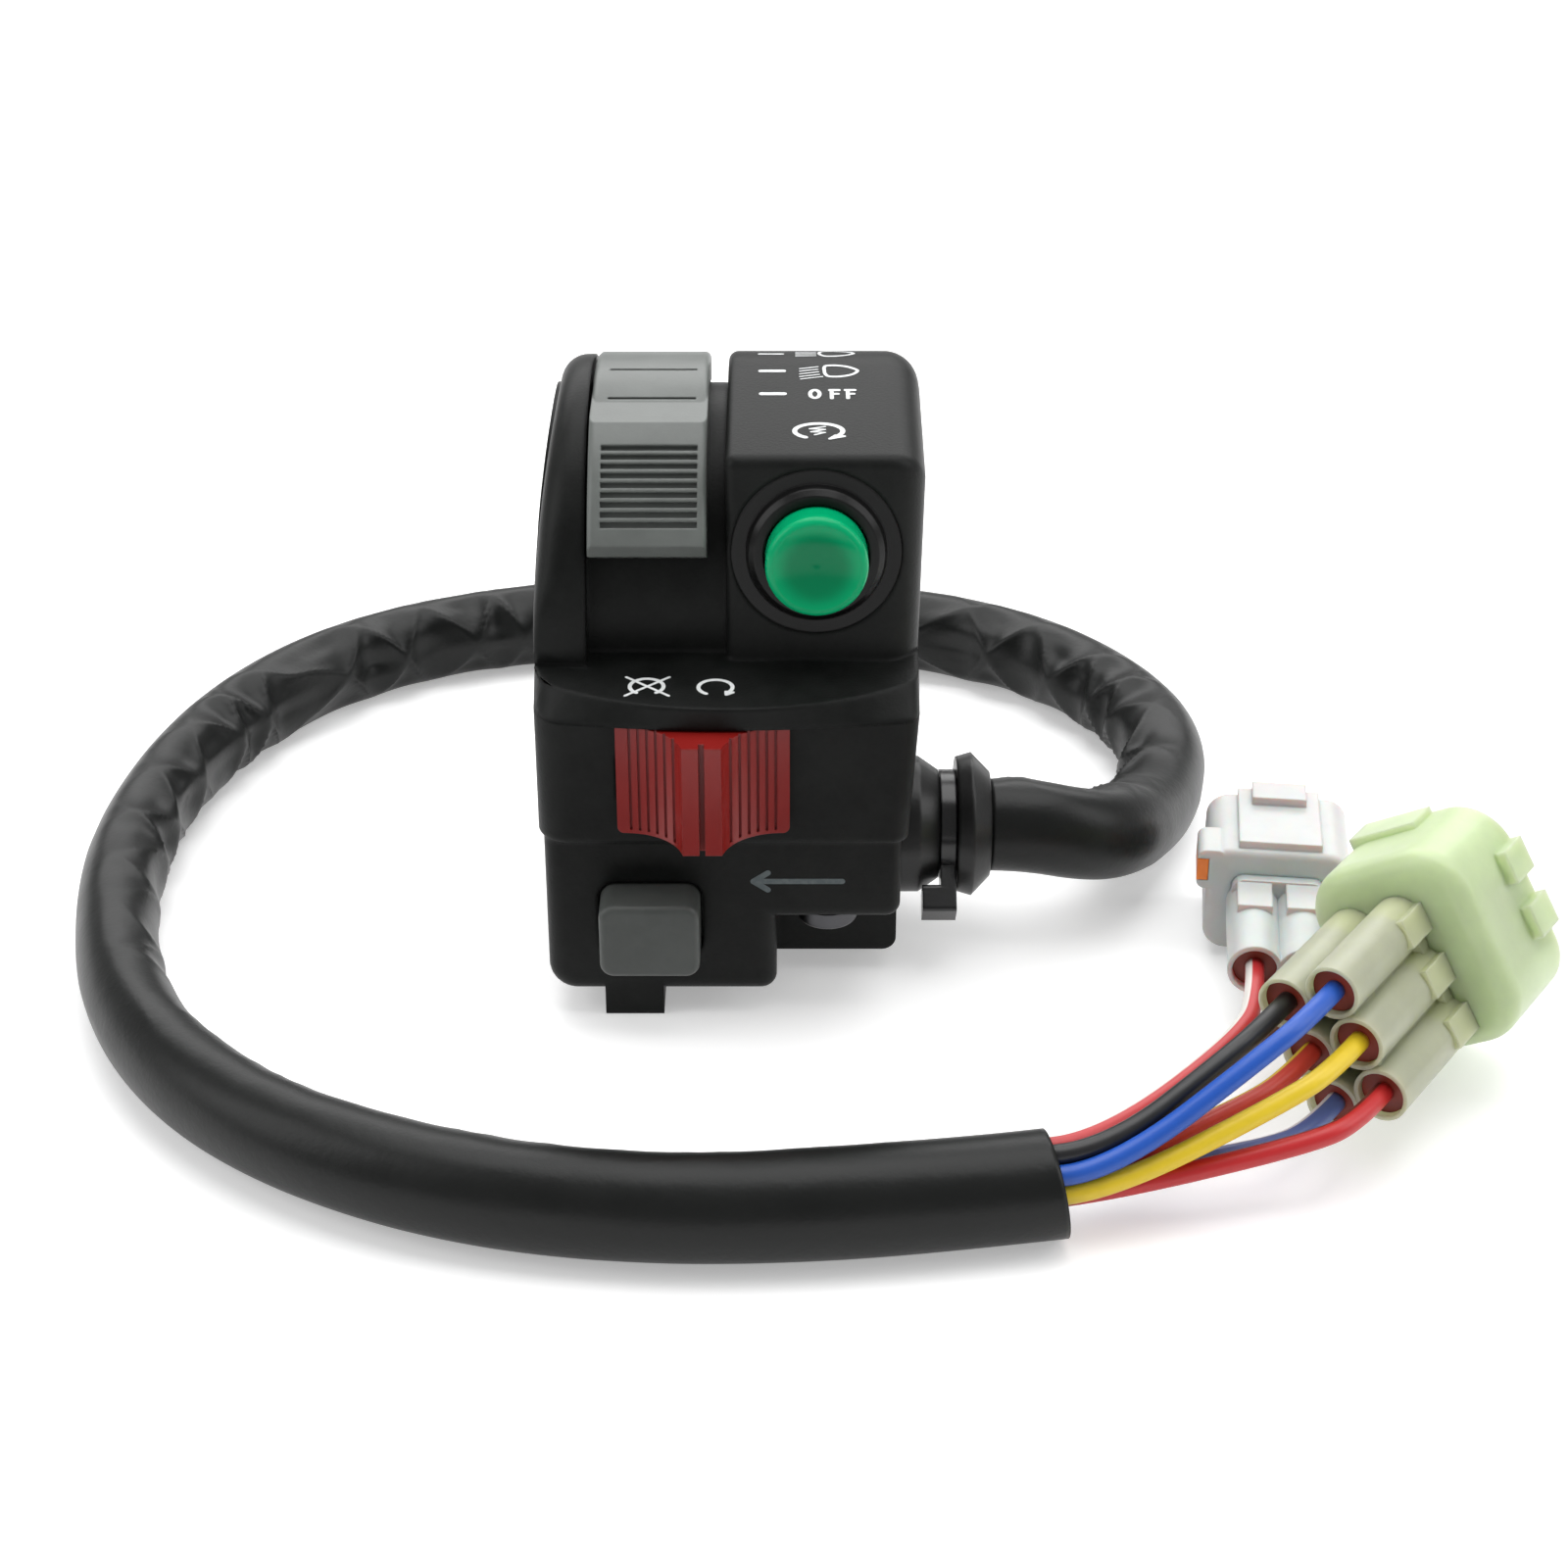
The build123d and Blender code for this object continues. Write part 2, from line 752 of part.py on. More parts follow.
def lower_casing():
    casing = lower_shell() + lower_band() + lower_rails()
    casing -= rod((casing_left - cut_over, 0, 0), (1, 0, 0), bar_radius, casing_width + 2 * cut_over)
    casing -= slab((kill_pocket_left, kill_pocket_right), (-band_front + kill_wall, -kill_pocket_back),
                   (-kill_pocket_drop, cut_over))
    casing -= kill_slot()
    casing -= override_pocket()
    casing -= slab(
        (override_left, override_right), (-band_front + kill_wall, -kill_pocket_back),
        (-override_top_drop - cut_over, -kill_pocket_drop + cut_over),
    )
    casing -= lower_ducts()
    casing -= rod((body_right + cut_over, grommet_y, grommet_z), (-1, 0, 0),
                  grommet_neck_radius + press_gap, grommet_plug + cut_over)
    for place in kill_screw_places:
        casing -= rod((place, -kill_pocket_back - cut_over, kill_screw_height()), (0, 1, 0),
                      kill_screw_radius + press_gap, kill_screw_length + cut_over)
    casing -= rod((front_screw_x, front_screw_y, -notch_top_drop - cut_over), (0, 0, 1),
                  screw_radius + press_gap, notch_top_drop + 2 * cut_over)
    for side in (-1, 1):
        place = (side * rear_screw_x, rear_screw_y, -body_drop)
        casing -= rod(place, (0, 0, 1), screw_radius + press_gap, body_drop + cut_over)
        casing -= rod(place, (0, 0, 1), screw_head_radius + slide_gap, body_drop - rear_screw_seat_drop)
    return casing


def casing_screw(x, y, seat_drop, tip):
    """Socket-head screw that enters from below, its head under a seat in the lower half."""
    screw = rod((x, y, -seat_drop), (0, 0, 1), screw_radius, seat_drop + tip)
    head = rod((x, y, -seat_drop - screw_head_height), (0, 0, 1), screw_head_radius, screw_head_height)
    lower_rim = head.faces().sort_by(Axis.Z)[0].edges()
    head = fillet(lower_rim, screw_head_fillet)
    socket = Pos(x, y, -seat_drop - screw_head_height) * extrude(
        RegularPolygon(screw_socket_width / 2, screw_socket_sides), amount=screw_socket_depth
    )
    return screw + head - socket


def casing_screws():
    screws = [casing_screw(front_screw_x, front_screw_y, notch_top_drop, front_screw_tip)]
    for side in (-1, 1):
        screws.append(casing_screw(side * rear_screw_x, rear_screw_y, rear_screw_seat_drop, rear_screw_tip))
    return screws


# Light control

def light_radii():
    """Radii of the curved slide about the arc axis: underside, plate and thumb piece."""
    inner = floor_radius + light_ride_gap
    plate = inner + light_plate_rise
    return inner, plate, plate + light_thumb_rise


def light_knob():
    """Curved slide: a ribbed thumb piece in front and a plain plate running back over the top."""
    inner, plate, thumb = light_radii()
    low_point = arc_point(thumb - light_thumb_low_bevel_share * (thumb - inner), light_thumb_low)
    outline = [
        Line(arc_point(inner, light_thumb_low), low_point),
        Line(low_point, arc_point(thumb, light_thumb_low_bevel)),
        arc_between(thumb, light_thumb_low_bevel, light_thumb_high),
        Line(arc_point(thumb, light_thumb_high), arc_point(plate, light_bevel_top)),
        arc_between(plate, light_bevel_top, light_plate_end),
        Line(arc_point(plate, light_plate_end), arc_point(inner, light_plate_end)),
        arc_between(inner, light_plate_end, light_thumb_low),
    ]
    knob = side_prism(Curve() + outline, (light_left, light_right))
    for side in (0, -1):
        rim = knob.faces().sort_by(Axis.X)[side].edges()
        outer = rim.filter_by(GeomType.CIRCLE).sort_by(Edge.radius)[-2:]
        knob = fillet(outer, light_edge_share * (plate - inner))

    step = (light_rib_last - light_rib_first) / (light_rib_count - 1)
    for number in range(light_rib_count):
        angle = light_rib_first + number * step
        knob -= sector(thumb - light_rib_depth, thumb + cut_over,
                       angle - light_rib_groove / 2, angle + light_rib_groove / 2,
                       (light_rib_left, light_rib_right))
    for angle in light_line_angles:
        knob -= sector(plate - light_line_depth, plate + cut_over,
                       angle - light_line_width / 2, angle + light_line_width / 2,
                       (light_line_left, light_line_right))

    stem_half = light_stem_width / 2
    knob += sector(floor_radius - light_wall - slide_gap, inner + light_ride_gap,
                   light_stem_angle - light_stem_half_angle, light_stem_angle + light_stem_half_angle,
                   (light_middle() - stem_half, light_middle() + stem_half))
    return knob


def light_carrier():
    """Inner shoe of the light control, wider than its slot, with a bore for the ball and spring."""
    outer = floor_radius - light_wall - slide_gap
    inner = outer - light_carrier_depth
    half = light_carrier_width / 2
    shoe = sector(inner, outer, light_stem_angle - light_carrier_half_angle,
                  light_stem_angle + light_carrier_half_angle, (light_middle() - half, light_middle() + half))
    bore_start = light_place(inner - cut_over, light_stem_angle)
    return shoe - rod(bore_start, light_outward(light_stem_angle), light_ball_radius + press_gap,
                      light_carrier_depth - light_bridge_thickness + cut_over)


def light_place(radius, angle):
    return (light_middle(), *arc_point(radius, angle))


def light_outward(angle):
    turn = math.radians(angle)
    return (0, -math.sin(turn), math.cos(turn))


def light_levels():
    """Radii about the arc axis: base bottom and top, contact top, bridge bottom, carrier bottom."""
    carrier = floor_radius - light_wall - slide_gap - light_carrier_depth
    bridge = carrier - light_bridge_thickness
    contact = bridge - light_contact_gap
    base_top = contact - light_contact_height
    return base_top - light_base_thickness, base_top, contact, bridge, carrier


def light_bridge():
    """Two sprung contact strips under the shoe, one on each side of the ball."""
    _, _, _, low, high = light_levels()
    strips = []
    for side in (-1, 1):
        middle = light_middle() + side * light_contact_side
        strips.append(sector(low, high, light_stem_angle - light_bridge_half_angle,
                             light_stem_angle + light_bridge_half_angle,
                             (middle - light_contact_width / 2, middle + light_contact_width / 2)))
    return strips


def light_contact_base():
    low, high, _, _, _ = light_levels()
    half = light_pocket_width / 2 - press_gap
    return sector(low, high, light_pocket_high + press_gap, light_pocket_low - press_gap,
                  (light_middle() - half, light_middle() + half))


def light_contacts():
    _, low, high, _, _ = light_levels()
    pads = []
    for angle in light_contact_angles:
        for side in (-1, 1):
            middle = light_middle() + side * light_contact_side
            pads.append(sector(low, high, angle - light_contact_half_angle, angle + light_contact_half_angle,
                               (middle - light_contact_width / 2, middle + light_contact_width / 2)))
    return pads


def light_detent_ball():
    _, base_top, _, _, _ = light_levels()
    place = light_place(base_top + light_ball_radius + press_gap, light_stem_angle)
    return Pos(*place) * Sphere(light_ball_radius)


def light_detent_spring():
    _, base_top, _, _, carrier = light_levels()
    low = base_top + 2 * light_ball_radius + 2 * press_gap
    high = carrier + light_carrier_depth - light_bridge_thickness
    seat = Plane(origin=light_place(low, light_stem_angle), z_dir=light_outward(light_stem_angle))
    wire = detent_wire_share * light_ball_radius
    return coil_spring(seat, light_ball_radius - 2 * wire, wire, high - low, detent_spring_turns)


# Start control

def start_bezel():
    """Bezel with a flush flange, a raised collar and a barrel whose shoulder stops the button."""
    outline = Polyline(
        (bezel_mouth_radius, bezel_collar_height), (bezel_collar_radius - bezel_edge, bezel_collar_height),
        (bezel_collar_radius, bezel_collar_height - bezel_edge), (bezel_collar_radius + bezel_edge / 2, 0),
        (bezel_flange_radius, 0), (bezel_flange_radius, -bezel_flange_thickness),
        (bezel_barrel_radius, -bezel_flange_thickness), (bezel_barrel_radius, -bezel_depth),
        (bezel_bore_radius, -bezel_depth), (bezel_bore_radius, -bezel_shoulder),
        (bezel_mouth_radius, -bezel_shoulder), close=True
    )
    ring = revolve(make_face(Plane.XZ * outline), axis=Axis.Z)
    return start_seat() * ring


def start_button_foot():
    """Height of the button's flange under the block's face when the button is out."""
    return -bezel_shoulder - start_button_rest_gap - start_button_flange


def start_button():
    """Round push button with a bevelled rim round a dished face, a flange and a short stem."""
    foot = start_button_foot()
    flange_top = foot + start_button_flange
    rim = start_button_radius - start_button_rim
    dish_radius = (rim ** 2 + start_button_dish ** 2) / (2 * start_button_dish)
    dish_turn = math.asin(rim / dish_radius) / 2
    stem_end = foot - start_bridge_room()
    outline = [
        Line((0, stem_end), (start_bridge_stem_radius, stem_end)),
        Line((start_bridge_stem_radius, stem_end), (start_bridge_stem_radius, foot)),
        Line((start_bridge_stem_radius, foot), (start_button_flange_radius, foot)),
        Line((start_button_flange_radius, foot), (start_button_flange_radius, flange_top)),
        Line((start_button_flange_radius, flange_top), (start_button_radius, flange_top)),
        Line((start_button_radius, flange_top),
             (start_button_radius, start_button_height - start_button_rim)),
        ThreePointArc(
            (start_button_radius, start_button_height - start_button_rim),
            (rim + start_button_rim * math.sqrt(0.5),
             start_button_height - start_button_rim * (1 - math.sqrt(0.5))),
            (rim, start_button_height),
        ),
        ThreePointArc(
            (rim, start_button_height),
            (dish_radius * math.sin(dish_turn),
             start_button_height - start_button_dish + dish_radius * (1 - math.cos(dish_turn))),
            (0, start_button_height - start_button_dish),
        ),
        Line((0, start_button_height - start_button_dish), (0, stem_end)),
    ]
    button = revolve(make_face(Plane.XZ * (Curve() + outline)), axis=Axis.Z)
    return start_seat() * button


def start_base_top():
    return -bezel_depth + start_base_thickness


def start_bridge_room():
    """Length of the stem under the flange, so that a full press stops just over the studs."""
    stud_top = start_base_top() + start_stud_height
    bridge_foot = stud_top + start_bridge_gap + start_travel
    return start_button_foot() - bridge_foot - start_bridge_thickness


def start_bridge():
    top = start_button_foot() - start_bridge_room()
    return start_column(start_bridge_radius, top - start_bridge_thickness, top)


def stud_place(side):
    return start_seat() * Pos(side * start_stud_spacing, 0, 0)


def start_contact_base():
    base = start_column(bezel_bore_radius - press_gap, -bezel_depth, start_base_top())
    hole = Cylinder(start_stud_radius + press_gap, start_base_thickness + 2 * cut_over)
    for side in (-1, 1):
        base -= stud_place(side) * Pos(0, 0, -bezel_depth + start_base_thickness / 2) * hole
    return base


def start_contacts():
    """Two rivets through the base, each with a head that the bridge meets."""
    rivets = []
    for side in (-1, 1):
        shank = Pos(0, 0, -bezel_depth) * Cylinder(
            start_stud_radius, start_base_thickness, align=(Align.CENTER, Align.CENTER, Align.MIN)
        )
        head = Pos(0, 0, start_base_top()) * Cylinder(
            start_stud_head * start_stud_radius, start_stud_height,
            align=(Align.CENTER, Align.CENTER, Align.MIN),
        )
        rivets.append(stud_place(side) * (shank + head))
    return rivets


def start_return_spring():
    low = start_base_top()
    seat = start_seat() * Pos(0, 0, low)
    return coil_spring(seat, start_spring_radius, start_spring_wire, start_button_foot() - low,
                       start_spring_turns)


# Stop control

def kill_flank():
    """Centre and radius of the hollow flank beside the ridge, measured from the knob's middle."""
    run = kill_flank_start - kill_ridge_neck_half
    rise = kill_ridge_neck_front - kill_side_front
    turn = 2 * math.atan(rise / run)
    return run / math.sin(turn), turn


def kill_flank_front(offset):
    """Distance of the flank's surface ahead of the bar axis, at an offset from the knob's middle."""
    radius, _ = kill_flank()
    across = kill_flank_start - offset
    if across <= 0:
        return kill_side_front
    return kill_side_front + radius - math.sqrt(radius ** 2 - across ** 2)


def kill_knob():
    """Slide with a double ridge between two hollow, finely grooved flanks, and a stem behind."""
    half = kill_width / 2
    back = -band_front - slide_gap
    radius, turn = kill_flank()
    middle = (kill_flank_start - radius * math.sin(turn / 2),
              -kill_side_front - radius * (1 - math.cos(turn / 2)))
    outline = [
        Line((-half, back), (half, back)),
        Line((half, back), (half, -kill_side_front)),
        Line((half, -kill_side_front), (kill_flank_start, -kill_side_front)),
        ThreePointArc((kill_flank_start, -kill_side_front), middle,
                      (kill_ridge_neck_half, -kill_ridge_neck_front)),
        Line((kill_ridge_neck_half, -kill_ridge_neck_front), (kill_ridge_half, -kill_ridge_front)),
        Line((kill_ridge_half, -kill_ridge_front), (-kill_ridge_half, -kill_ridge_front)),
        Line((-kill_ridge_half, -kill_ridge_front), (-kill_ridge_neck_half, -kill_ridge_neck_front)),
        ThreePointArc((-kill_ridge_neck_half, -kill_ridge_neck_front), (-middle[0], middle[1]),
                      (-kill_flank_start, -kill_side_front)),
        Line((-kill_flank_start, -kill_side_front), (-half, -kill_side_front)),
        Line((-half, -kill_side_front), (-half, back)),
    ]
    low = -kill_top_drop - kill_height
    knob = extrude(Pos(kill_x, 0, low) * make_face(Curve() + outline), amount=kill_height)
    corners = knob.edges().filter_by(Axis.Y).group_by(Axis.Z)[0]
    knob = fillet(corners, kill_corner_fillet)

    groove_half = kill_groove_width / 2
    knob -= slab((kill_x - groove_half, kill_x + groove_half),
                 (-kill_ridge_front - cut_over, -kill_ridge_front + kill_groove_depth),
                 (low - cut_over, -kill_top_drop + cut_over))
    step = (kill_line_last - kill_line_first) / (kill_line_count - 1)
    line_half = kill_line_width / 2
    for number in range(kill_line_count):
        offset = kill_line_first + number * step
        bottom = -kill_flank_front(offset) + kill_line_depth
        for side in (-1, 1):
            x = kill_x + side * offset
            knob -= slab((x - line_half, x + line_half), (-kill_ridge_front - cut_over, bottom),
                         (low + kill_line_depth, -kill_top_drop + cut_over))
    knob += slab(
        (kill_x - kill_stem_half, kill_x + kill_stem_half), (back, kill_carrier_front()),
        (-kill_stem_top_drop - kill_stem_height, -kill_stem_top_drop),
    )
    return knob


def kill_carrier_front():
    return -band_front + kill_wall + slide_gap


def kill_screw_height():
    return -(kill_base_top_drop + kill_base_drop) / 2


def kill_carrier():
    front = kill_carrier_front()
    back = front + kill_carrier_depth
    block = slab((kill_x - kill_carrier_half, kill_x + kill_carrier_half), (front, back),
                 (-kill_carrier_top_drop - kill_carrier_height, -kill_carrier_top_drop))
    bore = kill_carrier_depth - kill_bridge_thickness
    return block - rod((kill_x, back + cut_over, kill_middle_height()), (0, -1, 0),
                       kill_ball_radius + press_gap, bore + cut_over)


def kill_middle_height():
    return -kill_carrier_top_drop - kill_carrier_height / 2


def kill_bridge():
    front = kill_carrier_front() + kill_carrier_depth
    strips = []
    for side in (-1, 1):
        height = kill_middle_height() + side * kill_bridge_spread
        strips.append(slab((kill_x - kill_bridge_half, kill_x + kill_bridge_half),
                           (front, front + kill_bridge_thickness),
                           (height - kill_bridge_height / 2, height + kill_bridge_height / 2)))
    return strips


def kill_base_front():
    return -kill_pocket_back - kill_base_thickness


def kill_contact_base():
    base = slab((kill_base_left, kill_base_right), (kill_base_front(), -kill_pocket_back),
                (-kill_base_drop, -kill_base_top_drop))
    for place in kill_screw_places:
        base -= rod((place, kill_base_front() - cut_over, kill_screw_height()), (0, 1, 0),
                    kill_screw_radius + press_gap, kill_base_thickness + 2 * cut_over)
    return base


def kill_contacts():
    front = kill_base_front() - kill_contact_height
    pads = []
    for place in kill_contact_places:
        for side in (-1, 1):
            height = kill_middle_height() + side * kill_bridge_spread
            pads.append(slab((place - kill_contact_half, place + kill_contact_half),
                             (front, kill_base_front()),
                             (height - kill_bridge_height / 2, height + kill_bridge_height / 2)))
    return pads


def kill_base_screws():
    screws = []
    for place in kill_screw_places:
        seat = (place, kill_base_front(), kill_screw_height())
        head_start = (place, kill_base_front() - kill_screw_head_height, kill_screw_height())
        screw = rod(seat, (0, 1, 0), kill_screw_radius, kill_base_thickness + kill_screw_length)
        screws.append(screw + rod(head_start, (0, 1, 0), kill_screw_head_radius, kill_screw_head_height))
    return screws


def kill_detent_ball():
    place = (kill_x, kill_base_front() - kill_ball_radius - press_gap, kill_middle_height())
    return Pos(*place) * Sphere(kill_ball_radius)


def kill_detent_spring():
    low = kill_base_front() - 2 * kill_ball_radius - 2 * press_gap
    high = kill_carrier_front() + kill_bridge_thickness
    wire = detent_wire_share * kill_ball_radius
    seat = Plane(origin=(kill_x, low, kill_middle_height()), z_dir=(0, -1, 0))
    return coil_spring(seat, kill_ball_radius - 2 * wire, wire, low - high, detent_spring_turns)


# Override control

def override_levels():
    """Y of the wall's back, flange's front and back, bridge's front and back, contacts, base front."""
    wall_back = -band_front + band_proud + override_wall
    flange_front = wall_back + override_rest_gap
    flange_back = flange_front + override_flange
    base_front = -override_pocket_back - override_base_thickness
    contact_front = base_front - override_contact_height
    bridge_back = contact_front - override_contact_gap - override_travel
    bridge_front = bridge_back - override_bridge_thickness
    return flange_front, flange_back, bridge_front, bridge_back, contact_front, base_front


def override_middle():
    return (override_left + override_right) / 2, -(override_top_drop + override_drop) / 2


def override_button():
    """Square push button with soft corners, a flange behind the wall and a short stem."""
    flange_front, flange_back, bridge_front, _, _, _ = override_levels()
    cap = front_block((override_left, override_right), (-override_drop, -override_top_drop),
                      override_corner, -override_front, flange_front)
    cap = fillet(cap.faces().sort_by(Axis.Y)[0].edges(), override_edge_fillet)
    spare = override_flange_spare
    flange = slab((override_left - spare, override_right + spare), (flange_front, flange_back),
                  (-override_drop - spare, -override_top_drop + spare))
    x, z = override_middle()
    half = override_stem_width / 2
    stem = slab((x - half, x + half), (flange_back, bridge_front), (z - half, z + half))
    return cap + flange + stem


def override_bridge():
    _, _, front, back, _, _ = override_levels()
    x, z = override_middle()
    return slab((x - override_bridge_width / 2, x + override_bridge_width / 2), (front, back),
                (z - override_bridge_height / 2, z + override_bridge_height / 2))


def override_contact_base():
    front = override_levels()[-1]
    margin = override_pocket_margin - press_gap
    return slab((override_left - margin, override_right + margin), (front, -override_pocket_back),
                (-override_drop - margin, -override_top_drop + margin))


def override_contacts():
    _, _, _, _, front, back = override_levels()
    x, z = override_middle()
    half = override_contact_half
    pads = []
    for side in (-1, 1):
        middle = x + side * override_contact_spacing / 2
        pads.append(slab((middle - half, middle + half), (front, back), (z - half, z + half)))
    return pads


def override_return_spring():
    _, flange_back, _, _, _, base_front = override_levels()
    x, z = override_middle()
    seat = Plane(origin=(x, base_front, z), z_dir=(0, -1, 0))
    return coil_spring(seat, override_spring_radius, override_spring_wire, base_front - flange_back,
                       override_spring_turns)


# Grommet and tie

def grommet_stations():
    """X of the grommet's steps, from its plug inside the wall to its outer face."""
    plug = body_right - grommet_plug
    flange_end = body_right + grommet_inner_flange
    cone_end = flange_end + grommet_inner_cone
    neck_end = cone_end + grommet_neck
    rise_end = neck_end + grommet_outer_rise
    return plug, flange_end, cone_end, neck_end, rise_end, rise_end + grommet_outer_cone


def cable_grommet():
    """Rubber grommet: a plug in the wall, a flange on it, a neck for the tie and an outer flange."""
    plug, flange_end, cone_end, neck_end, rise_end, end = grommet_stations()
    outline = Polyline(
        (plug, 0), (plug, grommet_neck_radius), (body_right, grommet_neck_radius),
        (body_right, grommet_flange_radius), (flange_end, grommet_flange_radius),
        (cone_end, grommet_inner_cone_radius), (cone_end, grommet_neck_radius),
        (neck_end, grommet_neck_radius), (neck_end, grommet_outer_rise_radius),
        (rise_end, grommet_outer_flange_radius), (end, grommet_outer_cone_radius), (end, 0), close=True
    )
    body = revolve(make_face(Plane.XZ * outline), axis=Axis.X)
    body -= rod((plug - cut_over, 0, 0), (1, 0, 0), grommet_bore_radius, end - plug - grommet_neck)
    return Pos(0, grommet_y, grommet_z) * body


def cable_tie():
    """Strap round the grommet's neck, with its square head hanging in front and below."""
    _, _, cone_end, neck_end, _, _ = grommet_stations()
    middle = (cone_end + neck_end) / 2
    start = middle - tie_width / 2
    inner = grommet_neck_radius + press_gap
    outer = inner + tie_thickness
    strap = rod((start, 0, 0), (1, 0, 0), outer, tie_width)
    strap -= rod((start - cut_over, 0, 0), (1, 0, 0), inner, tie_width + 2 * cut_over)
    head_end = -tie_head_start - tie_head_length
    neck = slab((start, start + tie_width), (-tie_head_depth / 2, tie_head_depth / 2),
                (-tie_head_start - tie_thickness, -outer + tie_thickness / 2))
    head_middle = middle - tie_head_shift
    head = slab((head_middle - tie_head_width / 2, head_middle + tie_head_width / 2),
                (-tie_head_depth / 2, tie_head_depth / 2), (head_end, -tie_head_start))
    head = fillet(head.edges().filter_by(Axis.X), tie_thickness / 2)
    tie = strap + neck + head
    return Pos(0, grommet_y, grommet_z) * Rot(-tie_head_angle, 0, 0) * tie


# Lead

def tangent_radii(points):
    """Largest radius for each corner of a route that leaves its two runs some straight."""
    radii = []
    for before, corner, after in zip(points, points[1:], points[2:]):
        first = Vector(*corner) - Vector(*before)
        second = Vector(*after) - Vector(*corner)
        turn = math.radians(first.get_angle(second))
        radii.append(bend_share * min(first.length, second.length) / math.tan(turn / 2))
    return radii


def tube(points, diameter, name):
    """Round tube along straight runs joined by tangent arcs."""
    radii = tangent_radii(points)
    path = FilletPolyline(*points, radius=radii)
    section = Plane(origin=path @ 0, z_dir=path % 0) * Circle(diameter / 2)
    solid = sweep(section, path=path)
    share = solid.volume / (section.area * path.length)
    print(name, "length", round(path.length, 1), "least radius", round(min(radii), 1),
          "volume over section times length", round(share, 4))
    return solid


def harness_sleeve():
    return tube(sleeve_route, sleeve_diameter, "harness_sleeve")


def connector_plane(middle, forward, across):
    return Plane(origin=middle, x_dir=across, z_dir=forward)


def six_seat():
    return connector_plane(six_middle, six_forward, six_across)


def two_seat():
    return connector_plane(two_middle, two_forward, two_across)


def six_places():
    """Cavity places: column, then row counted downwards."""
    return [(column * six_pitch / 2, row * six_pitch) for column in (-1, 1) for row in (-1, 0, 1)]


def two_places():
    return [(column * two_pitch / 2, 0) for column in (-1, 1)]


def wire_end(connector, cavity):
    """Point at the back of a seal where its wire goes in, and the direction into the connector."""
    if connector == "six":
        seat = six_seat()
        place = Vector(cavity[0] * six_pitch / 2, cavity[1] * six_pitch, seal_setback)
    else:
        seat = two_seat()
        place = Vector(cavity[0] * two_pitch / 2, 0, seal_setback)
    return seat.from_local_coords(place), seat.z_dir


def wire_route(name):
    """Straight out of the sleeve, in the open, round towards the connector and straight in."""
    across, up, connector, cavity = wire_places[name]
    out = Vector(*sleeve_route[-1]) - Vector(*sleeve_route[-2])
    mouth = Plane(origin=sleeve_route[-1], x_dir=(-out.Y, out.X, 0), z_dir=out)
    place = Vector(across * wire_diameter, up * wire_diameter + wire_bundle_rise, 0)
    start = mouth.from_local_coords(place)
    ahead = start + mouth.z_dir * wire_first_run
    end, forward = wire_end(connector, cavity)
    behind = end - forward * wire_last_run
    if name in wire_bends:
        bend = Vector(*wire_bends[name])
    else:
        bend = behind - (forward + (behind - ahead).normalized()).normalized() * wire_last_run
    return [tuple(point) for point in (start, ahead, bend, behind, end)]


def wire(name):
    return tube(wire_route(name), wire_diameter, name)


# Connectors

def upright(radius, low, high):
    """Cylinder along the local Z axis between two heights."""
    column = Cylinder(radius, high - low, align=(Align.CENTER, Align.CENTER, Align.MIN))
    return Pos(0, 0, low) * column


def rounded_bar(x_span, y_span, corner, z_span):
    """Rounded bar along the local Z axis, between two values on each axis."""
    width = x_span[1] - x_span[0]
    height = y_span[1] - y_span[0]
    middle = Pos((x_span[0] + x_span[1]) / 2, (y_span[0] + y_span[1]) / 2, z_span[0])
    return extrude(middle * RectangleRounded(width, height, corner), amount=z_span[1] - z_span[0])


def core_bar(half_width, half_height, corner, z_span):
    return rounded_bar((-half_width, half_width), (-half_height, half_height), corner, z_span)


def six_core(spare, z_span):
    """The post that carries the six pins' holes, with some spare all round."""
    return core_bar(six_core_half_width + spare, six_core_half_height + spare, six_core_corner + spare,
                    z_span)


def six_way_housing():
    """Six tubes that open backwards, joined by webs, with one post ahead of them."""
    housing = six_core(0, (six_tube_length - six_web, six_length - six_core_setback))
    for x, y in six_places():
        housing += Pos(x, y, 0) * upright(six_tube_radius, 0, six_tube_length)
    for column in (-1, 1):
        x = column * six_pitch / 2
        housing += slab((x - six_web / 2, x + six_web / 2), (-six_pitch, six_pitch),
                        (six_web_setback, six_tube_length))
    pad_half = six_pad_width / 2
    pad_span = (six_tube_length - six_pad_length, six_tube_length)
    pad_end = six_pitch / 2 + six_tube_radius + pad_rise
    for row in (-1, 0, 1):
        y = row * six_pitch
        housing += slab((-six_pitch / 2, six_pitch / 2), (y - six_web / 2, y + six_web / 2),
                        (six_web_setback, six_tube_length))
        housing += slab((six_pitch / 2, pad_end), (y - pad_half, y + pad_half), pad_span)
    for x, y in six_places():
        housing -= Pos(x, y, 0) * upright(six_cavity_radius, -cut_over, six_cavity_depth)
        housing -= Pos(x, y, 0) * upright(pin_hole_radius, 0, six_length + cut_over)
    return six_seat() * housing


